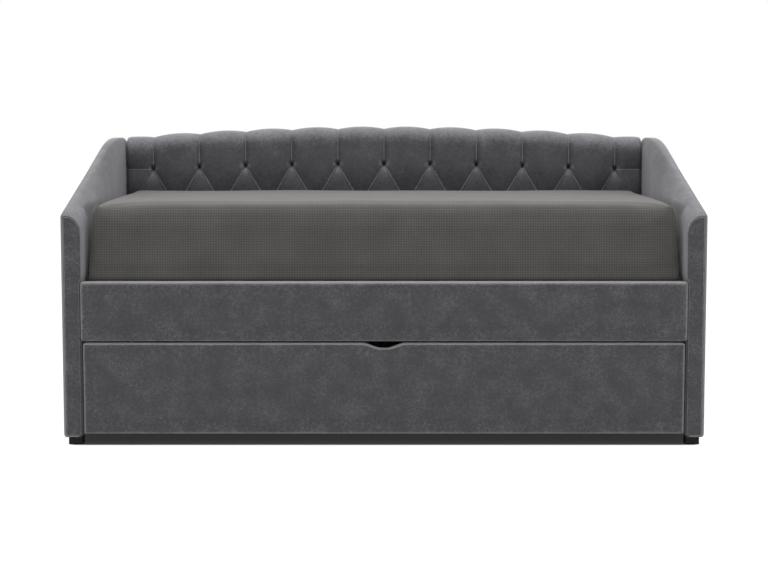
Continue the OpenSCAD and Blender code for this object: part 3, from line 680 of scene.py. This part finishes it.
def refine(piece):
    work_on(piece)
    finer = piece.modifiers.new("finer", "SUBSURF")
    set_all(finer, levels=1, render_levels=1)
    bpy.ops.object.modifier_apply(modifier=finer.name)
    bpy.ops.object.shade_smooth()


def keep_painted_light(piece, values):
    """Writes the painted light and shade on a piece, with a value for each point or one for them
    all.
    """
    kept = piece.data.attributes.new("painted_light", "FLOAT", "POINT")
    kept.data.foreach_set("value", np.full(len(kept.data), values, dtype=np.float32))


print("simulation is", "on")

# %% [markdown]
# ## The tufted back
# Tufting pulls the cover down to the frame at a grid of points and folds the
# spare cloth into pleats between them. The upper tufts follow the arch. From
# each one a straight pleat runs up over the top edge, which gives the
# scallops, and two pleats run down to the lower row and make the diamonds.
# The places of the tufts and the arch come first, because all else hangs on
# them.

# %% Where the tufts are
cushion_low, cushion_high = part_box("back_cushion")
crest_h = cushion_high.z
end_drop = 0.040
tuft_count = 11
tuft_end = 0.102
tuft_h = 0.878
diamond_h = 0.148
tuft_drop_share = 0.6
pleat_depth = 0.020
pit_depth = 0.020
pit_w = 0.0075
pit_tall = 0.0085
scallop_depth = 0.0095
top_roll = 0.046
rear_roll = 0.010
cap_thickness = 0.024
pad_rear_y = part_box("back_rails")[0].y - 0.0003
half_w = cushion_high.x
tuft_pitch = (2 * half_w - 2 * tuft_end) / (tuft_count - 1)
last_tuft = tuft_pitch * (tuft_count - 1) / 2
half_inner = half_w + 0.0003
corner_radius = 0.005


def arch(x):
    return crest_h - end_drop * (x / half_inner) ** 2


def upper_row(x):
    """The tufts follow the arch, and the pleats past the last tufts are level."""
    within = np.clip(x, -last_tuft, last_tuft)
    return tuft_h - tuft_drop_share * (crest_h - arch(within))


def end_share(x):
    return np.maximum(0, (np.abs(x) - last_tuft) / tuft_end)


def scallop(x):
    inside = np.abs(np.sin(np.pi * x / tuft_pitch))
    return np.where(end_share(x) > 0, np.sin(np.pi / 2 * end_share(x)), inside)


def corner_drop(x):
    over = np.clip(np.abs(x) - half_w + corner_radius, 0, corner_radius)
    return corner_radius - np.sqrt(corner_radius ** 2 - over ** 2)


def cushion_top(x):
    return arch(x) - scallop_depth * (1 - scallop(x) ** 0.8) - corner_drop(x)


print(tuft_count, "tufts, one every", round(tuft_pitch * 1000, 1), "mm")

# %% [markdown]
# The face is worked out as a height above the frame. It could be sculpted by
# hand, but every bay is the same, so a formula is truer: 0 in a pleat, 1
# midway between pleats, and a pit at each tuft.

# %% The height of the face
def crown(x, q):
    """0 in a pleat and 1 midway between pleats. q is 0 at the upper row of tufts
    and 1 at the lower row."""
    p = x / tuft_pitch
    last = (tuft_count - 1) / 2
    past = np.abs(p) - last
    fading_up = np.sin(np.pi / 2 * np.clip(-q * 2, 0, 1))
    above = np.where(past > 0, scallop(x) * fading_up, scallop(x)) ** 2
    below = np.cos(np.pi * p) ** 2
    diagonal = np.clip(2 * (q / 2 + past), 0, 1)
    panel = (np.sin(np.pi / 2 * diagonal) * np.sin(np.pi / 2 * np.clip(2 * q, 0, 1))) ** 2
    diamond = np.abs(np.sin(np.pi * (p - q / 2)) * np.sin(np.pi * (p + q / 2)))
    between = np.where(past + q / 2 > 0, panel, diamond)
    return np.where(q < 0, above, np.where(q > 1, below, between))


def to_tuft(x, z, wide=1.0, tall=1.0):
    """Distance to the nearest tuft, measured in a width and a height."""
    last = (tuft_count - 1) / 2
    p = x / tuft_pitch
    up = np.clip(np.round(p), -last, last) * tuft_pitch
    low = np.clip(np.round(p - 0.5) + 0.5, 0.5 - last, last - 0.5) * tuft_pitch
    to_up = np.hypot((x - up) / wide, (z - upper_row(up)) / tall)
    to_low = np.hypot((x - low) / wide, (z - upper_row(low) + diamond_h) / tall)
    return np.minimum(to_up, to_low)


def dent(x, z):
    q = (upper_row(x) - z) / diamond_h
    pleat = pleat_depth * (1 - crown(x, q) ** 0.4)
    return pleat + pit_depth * hump(to_tuft(x, z, pit_w, pit_tall), 1)


print("the middle tuft is pulled in by", round(float(dent(0, tuft_h)) * 1000), "mm")

# %% [markdown]
# The cushion is a row of upright rings, one behind each place along the bed:
# up the face, over the rolled top, down the back of the cap, and down again
# inside against the timber. The rings crowd together at the pleats.

# %% The rings of the cushion
def cushion_ring(x):
    top = cushion_top(x)
    lower, upper = upper_row(x) - diamond_h, upper_row(x)
    shoulder = top - top_roll
    under = arch(x) - cap_thickness
    rows = np.concatenate([
        np.linspace(cushion_low.z, lower, 20)[:-1],
        upper - (upper - lower) * np.linspace(1, 0, 30)[:-1] ** 1.5,
        upper + (shoulder - upper) * np.linspace(0, 1, 17) ** 1.4,
    ])
    lift = np.minimum(1, (rows - cushion_low.z) / 0.03)
    face = np.stack([cushion_low.y + dent(x, rows) * lift, rows], 1)
    fold = dent(x, shoulder)
    turn = np.radians(np.linspace(0, 90, 11)[1:])
    roll = np.stack([
        cushion_low.y + top_roll * (1 - np.cos(turn)) + fold * np.cos(turn),
        shoulder + top_roll * np.sin(turn),
    ], 1)
    back_centre = (cushion_high.y - rear_roll, top - rear_roll)
    back = quarter(back_centre, (rear_roll, rear_roll), 0, 4)[::-1]
    inside_rows = np.concatenate([rows[rows < under - 0.02], [under]])[::-1]
    across = len(face) + len(roll) + len(back) - len(inside_rows) + 1
    flat = np.linspace(0, 1, across)[:, None]
    rear_low, pad_low = np.array([cushion_high.y, under]), np.array([pad_rear_y, under])
    soffit = rear_low + (pad_low - rear_low) * flat
    inside = np.stack([np.full(len(inside_rows) - 1, pad_rear_y), inside_rows[1:]], 1)
    ring = np.concatenate([face, roll, back, soffit, inside])
    ring[:, 0] = np.where(ring[:, 0] < pad_rear_y, ring[:, 0] + corner_drop(x), ring[:, 0])
    return ring


end_columns = half_w - tuft_end * np.sin(np.linspace(0, math.pi / 2, 17))[:-1]
bay_share = np.linspace(0, tuft_count - 1, 22 * (tuft_count - 1) + 1)
crowding = 0.6 * np.sin(2 * np.pi * bay_share) / (2 * np.pi)
bay_columns = tuft_pitch * (bay_share - crowding) - last_tuft
columns = np.concatenate([-end_columns, bay_columns, end_columns[::-1]])
sections = [cushion_ring(x) for x in columns]
lengths = sorted({len(s) for s in sections})
print("cushion:", len(columns), "sections of", lengths, "points")

# %% [markdown]
# Painted light and shade are worked out from the place of a point between the
# tufts: painted shade darkens the folds, the pits, the face near the mattress
# and its ends, and painted highlights make the rolled top and the cloth beside
# and below each tuft paler.

# %% The nap of the cushion
def cushion_painted_light(x, z):
    """Paler is more than 0 and darker is less than 0."""
    q = (upper_row(x) - z) / diamond_h
    past_pleat = ((x / tuft_pitch + 0.5) % 1 - 0.5) * tuft_pitch
    from_up = np.abs(past_pleat)
    above_tuft = z - upper_row(x)
    under_top = cushion_top(x) - z
    in_bays = end_share(x) < 0.2
    tip = smooth_step((q / 2 - from_up / tuft_pitch) * 25) * hump(q, 0.3)
    beside = hump(from_up - 0.014, 0.006) * hump(above_tuft - 0.001, 0.010)
    crease = hump(from_up - 0.6 * above_tuft, 0.0035) * hump(above_tuft - 0.008, 0.008)
    pleat = hump(past_pleat - 0.005, 0.010) * smooth_step(-q * 4)
    pleat = pleat * np.clip((under_top - 0.01) / 0.04, 0, 1)
    pit = hump(to_tuft(x, z, 0.0048, 0.0075), 1)
    low = smooth_step((q + 0.5) / 1.2)
    ends = smooth_step((np.abs(x) - half_w + 0.010) / 0.010)
    top = 1 - smooth_step((under_top + 0.01) / 0.085)
    # pale is painted light on the rolled top and painted highlights beside and below each tuft;
    # dark is painted shade in creases, pleats, pits, near the mattress and at the ends.
    pale = 0.86 * top + in_bays * (0.5 * beside + 0.8 * tip)
    dark = in_bays * (0.4 * crease + 0.4 * pleat) + 1.3 * pit + 0.5 * low + 0.8 * ends
    return pale - dark - 0.06


print("nap at the middle tuft", round(float(cushion_painted_light(0, tuft_h)), 2))

# %% [markdown]
# The pleats, the tufts and the edges are held, and the cloth between them is
# filled out by up to 6 mm.

# %% Dress the cushion
def back_cushion():
    rings = np.array([upright_ring(x, section, 0) for x, section in zip(columns, sections)])
    piece = skin("back_cushion_dressed", rings, "daybed", "back_cushion")
    x, y, z = coordinates(piece).T
    q = (upper_row(x) - z) / diamond_h
    face = y < cushion_low.y + top_roll
    free = smooth_step((crown(x, q) ** 0.5 - 0.12) / 0.5) * face
    free *= smooth_step((half_w - np.abs(x)) / 0.02) * smooth_step((z - cushion_low.z) / 0.03)
    free *= 1 - hump(to_tuft(x, z), 0.02)
    fill_out(piece, free, pressure=12, most=0.006)
    refine(piece)
    x, y, z = coordinates(piece).T
    keep_painted_light(piece, np.where(y < pad_rear_y, cushion_painted_light(x, z), 0.2))
    return piece


cushion = back_cushion()

# %% [markdown]
# The spare cloth in each pleat is folded over, and the edge of the fold shows
# as a thin pale line: the tube's roundness, with a painted highlight on it. A
# fold is narrower than the squares of the cushion, so each is its own slim tube
# of velvet, laid along the bottom of its pleat.

# %% Pleat folds
fold_radius = 0.0012
fold_out = 0.0004
fold_gap = 0.012
# The folds' painted highlight.
fold_highlight = 0.55
cushion_tree = BVHTree.FromObject(cushion, bpy.context.evaluated_depsgraph_get())


def on_face(x, z):
    """The point of the finished cushion that is seen from the front at x, z."""
    hit = cushion_tree.ray_cast(Vector((x, cad_low.y, z)), Vector((0, 1, 0)))[0]
    return hit - Vector((0, fold_out, 0))


def fold_tube(points, radii):
    curve = bpy.data.curves.new("fold", "CURVE")
    set_all(curve, dimensions="3D", bevel_depth=fold_radius, bevel_resolution=2, use_fill_caps=True)
    line = curve.splines.new("POLY")
    line.points.add(len(points) - 1)
    for spot, point, radius in zip(line.points, points, radii):
        set_all(spot, co=(*point, 1), radius=radius)
    return place("fold", curve)


def pleat_runs(shares):
    """The x and z of points along every fold: up, down to both sides, and level."""
    slanted, level = 0.04 + 0.92 * shares, 0.08 + 0.88 * shares
    last = (tuft_count - 1) // 2
    for k in range(-last, last + 1):
        x = k * tuft_pitch
        tuft, top = upper_row(x), cushion_top(x)
        yield x + 0 * shares, tuft + fold_gap + (top - tuft - 2 * fold_gap) * shares
        for way in (-1, 1):
            if abs(k + way) <= last:
                places = x + way * tuft_pitch / 2 * slanted
                yield places, upper_row(places) - diamond_h * slanted
    for side in (-1, 1):
        yield side * (last_tuft + tuft_end * level), upper_row(last_tuft) - 0.002 + 0 * level


def pleat_folds():
    shares = np.linspace(0, 1, 41)
    taper = np.sqrt(np.clip(np.minimum(shares, 1 - shares) * 12, 0.02, 1))
    tubes = [fold_tube([on_face(*spot) for spot in zip(*run)], taper) for run in pleat_runs(shares)]
    work_on(tubes[0])
    for tube in tubes:
        tube.select_set(True)
    bpy.ops.object.convert(target="MESH")
    bpy.ops.object.join()
    piece = bpy.context.object
    piece.name = "back_pleat_folds"
    piece.data.materials.clear()
    piece.data.materials.append(velvet)
    bpy.ops.object.shade_smooth()
    keep_painted_light(piece, fold_highlight)
    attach(piece, "daybed")
    return piece


folds = pleat_folds()
print("pleat folds:", len(folds.data.polygons), "faces")

# %% [markdown]
# ## The arms
# An arm is a padded board whose top slopes up to the back in a straight line
# and then levels out through a large radius. Across, its inner top edge is a
# wide roll and its other edges are tight. The front is closed by a flat facing
# sewn in just inside the rolled edge.

# %% The arm's outline
arm_low, arm_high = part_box("arm_cover_left")
arm_ease = 0.0025
arm_hang = 0.0022
arm_low.x -= arm_ease
arm_low.z -= arm_hang
rail_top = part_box("front_rail_cover")[1].z
arm_t = arm_high.x - arm_low.x
arm_d = arm_high.y - arm_low.y
arm_front_h = 0.748
arm_level_d = 0.064
arm_top_r = 1.100
arm_roll = (0.040, 0.064)
arm_roll_rear = (0.026, 0.036)
arm_edge_r = 0.010
arm_front_r = 0.006
arm_rear_r = 0.005
facing_inset = 0.0055
facing_t = 0.006
outer_share = 1.3
inner_share = 0.6
top_share = 1.4
arm_puff = 0.007
arm_puff_lost = 0.004
arm_hollow = 0.003
mattress_begins = 0.108
gap_top = 0.745
arm_rise = arm_high.z - arm_front_h
arm_run = arm_d - arm_level_d
arm_left_over = 2 * arm_top_r - arm_rise
arm_half_tan = (arm_run - math.sqrt(arm_run ** 2 - arm_left_over * arm_rise)) / arm_left_over
arm_slope = 2 * math.atan(arm_half_tan)
arm_bend_y = arm_run - arm_top_r * math.sin(arm_slope)


def arm_top(y):
    if y < arm_bend_y:
        return arm_front_h + y * math.tan(arm_slope)
    if y < arm_run:
        return arm_high.z - arm_top_r + math.sqrt(arm_top_r ** 2 - (arm_run - y) ** 2)
    return arm_high.z


def arm_section(top, inset, roll):
    """The outline across the arm, with x from 0 at the outer face."""
    edge = max(arm_edge_r - inset, 0.001)
    low, high = arm_low.z + inset, top - inset * top_share
    left, right = inset * outer_share, arm_t - inset * inner_share
    wide, tall = roll[0] - inset * inner_share, roll[1] - inset * top_share
    turns = [
        quarter((left + edge, low + edge), (edge, edge), 180, 4),
        quarter((right - edge, low + edge), (edge, edge), 270, 4),
        quarter((right - wide, high - tall), (wide, tall), 0, 16),
        quarter((left + edge, high - edge), (edge, edge), 90, 4),
    ]
    return joined(turns, (4, 56, 4, 60))


def arm_ring(y, inset, depth=0.0):
    """A ring around the arm. Its inner side is padded more above the rail, but not
    beside the mattress, where a narrow gap stays open."""
    back = smooth_step((y - 0.5) / (arm_run - 0.5))
    roll = [a + (b - a) * back for a, b in zip(arm_roll, arm_roll_rear)]
    x, z = arm_section(arm_top(y), inset, roll).T
    inner = smooth_step((x / arm_t - 0.45) / 0.5)
    above = smooth_step((z - rail_top + 0.010) / 0.030)
    beside = smooth_step((y - mattress_begins) / 0.030) * (1 - smooth_step((z - gap_top) / 0.035))
    along = arm_puff * (1 - smooth_step((y - 0.35) / 0.4))
    along -= arm_puff_lost * smooth_step((y - 0.7) / 0.2)
    puff = inner * above * (along * (1 - beside) - arm_hollow * beside)
    ring = np.column_stack([arm_low.x + x + puff, np.full(len(x), front + y + depth), z])
    return np.roll(ring, -6, axis=0)


print("the arm's top slopes at", round(math.degrees(arm_slope), 1), "degrees")

# %% [markdown]
# The cover is one skin from the facing's seam to the back. Its outer side is
# the smoothest cloth on the bed, so it is only filled by 3 mm. A painted
# highlight lies on its front rim and painted light on its top, and painted
# shade darkens it towards the back, beside the rail and in the narrow gap by
# the mattress. The right arm is the left one mirrored, with a mesh of its own.

# %% Dress the arms
def mirrored(piece, name, node):
    """A left-hand piece mirrored for the right, with its own mesh."""
    copy = place(name, piece.data.copy())
    set_coordinates(copy, coordinates(copy) * (-1, 1, 1))
    copy.data.flip_normals()
    stand_for(copy, "daybed", node)
    return copy


def arm_painted_light(points):
    """Painted light on an arm: a painted highlight at the front rim, painted light on
    the top, and painted shade towards the back of the inner side, beside the rail and by the
    mattress."""
    x, y, z = (points - (0, front, 0)).T
    across = np.clip((x - arm_low.x - 0.010) / (arm_t - 0.014), 0, 1)
    # Painted light on the front of the top, fading to painted shade towards the back.
    brush_marks_and_painted_light = 0.42 - 1.07 * smooth_step((y - 0.15) / 0.85) * across
    brush_marks_and_painted_light *= smooth_step((z - 0.5) / 0.1)
    brush_marks_and_painted_light *= 1 - smooth_step((arm_low.x + 0.006 - x) / 0.004)
    # Painted shade in the narrow gap beside the mattress.
    shade_by_mattress = smooth_step((y - 0.095) / 0.10) * (1 - smooth_step((z - 0.70) / 0.08))
    shade_by_mattress *= smooth_step((across - 0.7) / 0.3)
    brush_marks_and_painted_light = np.maximum(brush_marks_and_painted_light - 0.9 * shade_by_mattress, -0.75)
    # Painted shade where the arm meets the rail, and no rim highlight there.
    beside_rail = smooth_step((x - arm_high.x + 0.016) / 0.008)
    beside_rail *= 1 - smooth_step((z - rail_top + 0.01) / 0.03)
    # A painted highlight on the front rim.
    rim = hump(y, 0.005) * (1 - beside_rail)
    return np.maximum(rim, brush_marks_and_painted_light) - 0.35 * beside_rail


def arm_cover():
    rings = [
        arm_ring(0, facing_inset + 0.0006, facing_t),
        arm_ring(0, facing_inset + 0.0006, 0.0016),
        arm_ring(0, facing_inset, 0.0006),
    ]
    for a in np.linspace(0, math.pi / 2, 7):
        inset = facing_inset * (1 - math.sin(a))
        rings.append(arm_ring(0, inset, arm_front_r * (1 - math.cos(a))))
    straight = np.linspace(arm_front_r, arm_bend_y, 62)[1:]
    bent = np.linspace(arm_bend_y, arm_d - arm_rear_r, 44)[1:]
    rings += [arm_ring(y, 0) for y in (*straight, *bent)]
    for a in np.linspace(0, math.pi / 2, 4)[1:]:
        y = arm_d - arm_rear_r * (1 - math.sin(a))
        rings.append(arm_ring(y, arm_rear_r * (1 - math.cos(a))))
    piece = skin("arm_cover_left_dressed", np.array(rings), "daybed", "arm_cover_left")
    x, y, z = coordinates(piece).T
    from_edges = np.minimum.reduce([
        y - front - 0.012, arm_high.y - y - 0.010, z - arm_low.z - 0.012,
    ])
    fill_out(piece, smooth_step(from_edges / 0.08), pressure=0.2, most=0.003)
    refine(piece)
    keep_painted_light(piece, arm_painted_light(coordinates(piece)))
    return piece


arm_left = arm_cover()
arm_right = mirrored(arm_left, "arm_cover_right_dressed", "arm_cover_right")
print("arms:", len(arm_left.data.polygons), "faces each")

# %% [markdown]
# A facing hides the front edge of the arm's cover. It is a flat shape a little
# smaller than the arm, so the rolled edge shows round it, and its own edge
# turns in over a few millimetres, which makes the seam line, with a painted
# highlight on the turned-in edge.

# %% The facings on the front of the arms
def arm_facing():
    rings = []
    edge_in = facing_inset + 0.0012
    turned_in = ((0, facing_t - 0.0003), (0, 0.0022), (0.0005, 0.0012), (0.0014, 0.0005))
    for further_in, depth in turned_in:
        rings.append(arm_ring(0, edge_in + further_in, depth))
    outline = arm_ring(0, edge_in + 0.003, 0.0)
    middle = (outline.max(0) + outline.min(0)) / 2
    for share in (1.0, 0.8, 0.55, 0.3):
        ring = middle + (outline - middle) * (share, 1, 0.9 + 0.1 * share)
        ring[:, 1] -= 0.0006 * (1 - share)
        rings.append(ring)
    piece = skin("arm_facing_left_dressed", np.array(rings), "daybed", "arm_facing_left")
    refine(piece)
    x, y, z = coordinates(piece).T
    # A painted highlight on the turned-in edge, which shows as the seam line.
    keep_painted_light(piece, 0.8 * smooth_step((y - front - 0.0001) / 0.0005))
    return piece


facing_left = arm_facing()
facing_right = mirrored(facing_left, "arm_facing_right_dressed", "arm_facing_right")
print("facings made")

# %% [markdown]
# ## The rail and the trundle panel
# Both are boards with a thin layer of foam, covered and stapled at the back.
# Their corners are rounded as seen from the front and all their edges are
# rolled. The panel has a shallow dip in its top edge for a hand.

# %% A padded board
def board_rings(low, high, corner, roll, step, top_rows, side_rows):
    """Rings across a board that runs along x."""
    rings = []
    for along in eased(high.x - low.x, corner, step, 6):
        inner = min(along, high.x - low.x - along)
        tuck, thin = rounding(inner, corner), rounding(inner, roll)
        rolls = (max(roll - thin, 0.0005), roll)
        lowest, highest = (low.y + thin, low.z + tuck), (high.y - thin, high.z - tuck)
        turns = rounded(lowest, highest, rolls, rolls, (4, 4))
        section = joined(turns, (top_rows, side_rows, top_rows, side_rows))
        rings.append(upright_ring(low.x + along, section, -7))
    return np.array(rings)


def rim_of(points, low, high, side_width, top_width, low_width):
    """1 on the edges of a board, falling off within a width for each edge."""
    x, y, z = points.T
    sides = np.minimum(x - low.x, high.x - x) / side_width
    ends = np.minimum((high.z - z) / top_width, (z - low.z) / low_width)
    return hump(np.minimum(sides, ends), 1)


def inside_of(points, low, high):
    """How far the points lie inside a board's outline, seen from the front."""
    x, y, z = points.T
    return np.minimum.reduce([x - low.x, high.x - x, z - low.z, high.z - z])


def padded_board(name, node, body, rings):
    low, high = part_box(node)
    piece = skin(name, rings, body, node)
    points = coordinates(piece)
    inside = inside_of(points, low, high) - board_hem
    on_front = points[:, 1] < low.y + 0.004
    fill_out(piece, smooth_step(inside / 0.05) * on_front, pressure=3, most=0.0015)
    return piece


board_hem = 0.006
# The strength of the painted highlight on the rims of the rail and the panel.
board_rim_highlight = 1.1
print("board helpers ready")

# %% [markdown]
# The rail's cover hangs a hair lower than its board, and is a little wider,
# so that it meets the rolled edges of the arms.

# %% The rail
cover_sag = 0.0015
rail_ease = 0.002
rail_low, rail_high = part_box("front_rail_cover")
rail_low.x -= rail_ease
rail_high.x += rail_ease
rail_low.z -= 2 * cover_sag
rail_high.z -= cover_sag
rail_rings = board_rings(rail_low, rail_high, corner=0.009, roll=0.006,
                         step=0.0085, top_rows=5, side_rows=22)
rail = padded_board("front_rail_dressed", "front_rail_cover", "daybed", rail_rings)
refine(rail)
# A painted highlight along the rail's rolled edges.
rail_rim = rim_of(coordinates(rail), rail_low, rail_high,
                  side_width=0.0065, top_width=0.0065, low_width=0.004)
keep_painted_light(rail, board_rim_highlight * rail_rim)
print("rail:", len(rail.data.polygons), "faces")

# %% [markdown]
# The panel is made as the rail is. Its hand notch isn't cut out, but pressed
# down: the rows near the top edge follow a smooth dip, and the rows lower
# down follow it less and less. That keeps the rolled edge whole.

# %% The trundle panel and its hand notch
notch_w = 0.138
notch_flat = 0.020
notch_d = 0.0175
notch_reach = 0.07
panel_low, panel_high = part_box("trundle_panel_cover")
panel_low.z -= 2 * cover_sag
panel_high.z -= 3 * cover_sag
panel_rings = board_rings(panel_low, panel_high, corner=0.005, roll=0.0035,
                          step=0.0085, top_rows=5, side_rows=34)


def notch_drop(x):
    return notch_d * smooth_step((notch_w / 2 - np.abs(x)) / (notch_w / 2 - notch_flat / 2))


def pressed_down(points, way):
    """The points moved down into the notch with way 1, and out of it with way -1."""
    fade = smooth_step((points[..., 2] - panel_high.z + notch_reach) / (notch_reach - 0.005))
    moved = points.copy()
    moved[..., 2] -= way * notch_drop(points[..., 0]) * fade
    return moved


panel = padded_board("trundle_panel_dressed", "trundle_panel_cover", "trundle",
                     pressed_down(panel_rings, 1))
refine(panel)
uncut = pressed_down(coordinates(panel), -1)
# A painted highlight along the panel's rolled edges.
panel_rim = rim_of(uncut, panel_low, panel_high,
                   side_width=0.005, top_width=0.0034, low_width=0.0045)
keep_painted_light(panel, board_rim_highlight * panel_rim)
print("panel:", len(panel.data.polygons), "faces")

# %% [markdown]
# ## The back of the back
# A flat panel closes the timber frame behind. It has a thin padding, so its
# edge is soft, and its top follows the arch.

# %% The rear cover
rear_low, rear_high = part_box("back_rear_cover")
rear_corner = 0.006
rear_edge = (0.003, 0.003)
rear_puff = 0.004


def rear_cover():
    rings = []
    length = rear_high.x - rear_low.x
    for along in eased(length, rear_corner, step=0.016, roll_steps=4):
        x = rear_low.x + along
        tuck = rounding(min(along, length - along), rear_corner)
        lowest = (rear_low.y, rear_low.z + tuck)
        highest = (rear_high.y, rear_high.z - end_drop * (x / half_inner) ** 2 - tuck)
        turns = rounded(lowest, highest, rear_edge, rear_edge, (2, 2))
        rings.append(upright_ring(x, joined(turns, (3, 60, 3, 60)), -4))
    piece = skin("back_rear_cover_dressed", np.array(rings), "daybed", "back_rear_cover")
    points = coordinates(piece)
    inside = inside_of(points, rear_low, rear_high - Vector((0, 0, end_drop)))
    outer = points[:, 1] > rear_high.y - 0.004
    points[:, 1] += rear_puff * smooth_step(inside / 0.15) * outer
    set_coordinates(piece, points)
    refine(piece)
    keep_painted_light(piece, 0)
    return piece


rear = rear_cover()
print("rear cover:", len(rear.data.polygons), "faces")

# %% [markdown]
# ## The mattress
# A foam mattress in a fitted cover: flat sides that lean in a little, a soft
# shoulder at the top, a tighter edge underneath, and a top that is slightly
# crowned. Rings across its length give the shoulder and the edge.

# %% The rings of the mattress
mattress_low, mattress_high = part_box("mattress")
mattress_ease = 0.004
mattress_low.x -= mattress_ease
mattress_high.x += mattress_ease
middle = (mattress_low + mattress_high) / 2
half = (mattress_high - mattress_low) / 2
mattress_corner = 0.010
mattress_shoulder = 0.046
mattress_end_shoulder = 0.022
mattress_edge = 0.009
mattress_crown = 0.0025


def mattress_rings():
    rings = []
    length = mattress_high.x - mattress_low.x
    top = mattress_high.z - mattress_crown
    wider = mattress_shoulder - mattress_end_shoulder
    for along in eased(length, mattress_shoulder, step=0.016, roll_steps=12):
        inner = min(along, length - along)
        shoulder = mattress_end_shoulder + wider * smooth_step((inner - 0.02) / 0.12)
        side = rounding(inner, mattress_corner)
        above = rounding(inner, mattress_end_shoulder)
        below = rounding(inner, mattress_edge)
        low = (mattress_low.y + side, mattress_low.z + below)
        high = (mattress_high.y - side, top - above)
        edge = (mattress_edge, max(mattress_edge - below, 0.001))
        roll = (shoulder, max(shoulder - above, 0.001))
        section = joined(rounded(low, high, edge, roll, (4, 8)), (60, 14, 58, 14))
        rings.append(upright_ring(mattress_low.x + along, section, 8))
    return np.array(rings)


print("the mattress has", len(mattress_rings()), "rings")

# %% [markdown]
# The foam is softer at the corners, where the sides bulge, and its front foot
# fills the corner behind the rail. The weave runs along the edges of each
# side, so the map is laid on by the way each face looks.

# %% Lean, bulge and cloth map
mattress_lean = 0.010
side_bulge = 0.006
foot_forward = 0.011


def lean_in(points):
    """Leans the sides in, crowns the top, and bulges the corners and the foot."""
    x, y, z = points.T
    rise = np.clip((z - mattress_low.z) / (2 * half.z), 0, 1)
    for axis in (0, 1):
        narrower = 1 - mattress_lean * rise / half[axis]
        points[:, axis] = middle[axis] + (points[:, axis] - middle[axis]) * narrower
    across = np.clip(np.abs(x - middle.x) / half.x, 0, 1)
    deep = np.clip(np.abs(y - middle.y) / half.y, 0, 1)
    z += mattress_crown * (1 - across ** 4) * (1 - deep ** 4) * smooth_step((rise - 0.8) / 0.15)
    bulge = smooth_step((across - 0.9) / 0.1) * smooth_step((1 - deep) * half.y / 0.09)
    bulge *= smooth_step(rise * 8) * smooth_step((1 - rise) * 6)
    x += np.sign(x) * side_bulge * bulge
    at_front = smooth_step((middle.y - y) / half.y * 4 - 3)
    y -= foot_forward * at_front * (1 - smooth_step(rise * 1.3))
    return points


def map_cloth(piece):
    """Lays the cloth map in metres on every side, by the way each face looks."""
    mesh = piece.data
    layer = mesh.uv_layers.new(name="cloth")
    points = coordinates(piece)
    for face in mesh.polygons:
        look = [abs(c) for c in face.normal]
        main = look.index(max(look))
        across, up = ((1, 2), (0, 2), (0, 1))[main]
        for loop in face.loop_indices:
            point = points[mesh.loops[loop].vertex_index]
            layer.data[loop].uv = (point[across], point[up])


print("mattress sides lean in by", mattress_lean * 1000, "mm")

# %% [markdown]
# At each upper corner the cover's seam stands up as a low ear, and the top
# beside it sinks a little, because two seams pull there. The rest of the top
# has very low waves. All of it is added after the simulation, or it would be
# pressed flat.

# %% Dress the mattress
corner_sink = 0.012
corner_reach_front = 0.12
corner_reach_rear = 0.05
ear_height = 0.009
ear_out = 0.001
ear_width = 0.014
ear_inset = np.array([0.027, 0.014])
ear_below = 0.006
wave_height = 0.0014


def dress_mattress():
    piece = skin("mattress_dressed", mattress_rings(), "mattress", "mattress",
                 waffle)
    points = lean_in(coordinates(piece))
    set_coordinates(piece, points)
    low_edge = smooth_step((points[:, 2] - mattress_low.z - 0.01) / 0.05)
    fill_out(piece, low_edge, pressure=0.5, most=0.004)
    refine(piece)
    points = coordinates(piece)
    x, y, z = points.T
    rise = smooth_step((z - middle.z) / half.z)
    wave = np.sin(x * 9 + 1.7 * np.sin(y * 6)) * np.sin(y * 17 + x * 3)
    z += wave_height * (wave - 0.5) * smooth_step((rise - 0.7) / 0.3)
    tip_h = mattress_high.z - corner_sink - ear_below
    for sx in (-1, 1):
        for sy, reach in ((-1, corner_reach_front), (1, corner_reach_rear)):
            side = np.array([sx, sy])
            corner = np.array([middle.x, middle.y]) + side * np.array([half.x, half.y])
            away = np.linalg.norm(points[:, :2] - corner, axis=1)
            z -= corner_sink * hump(away, reach) * rise
            tip = np.array([*(corner - side * ear_inset), tip_h])
            pull = hump(np.linalg.norm(points - tip, axis=1), ear_width)
            points += pull[:, None] * np.array([sx * ear_out, sy * ear_out, ear_height])
    set_coordinates(piece, points)
    map_cloth(piece)
    # A little painted light towards the top, and painted shade along the bottom edge.
    keep_painted_light(piece, 0.06 * rise - 0.9 * hump(z - mattress_low.z, 0.012))
    return piece


mattress = dress_mattress()
print("mattress:", len(mattress.data.polygons), "faces")
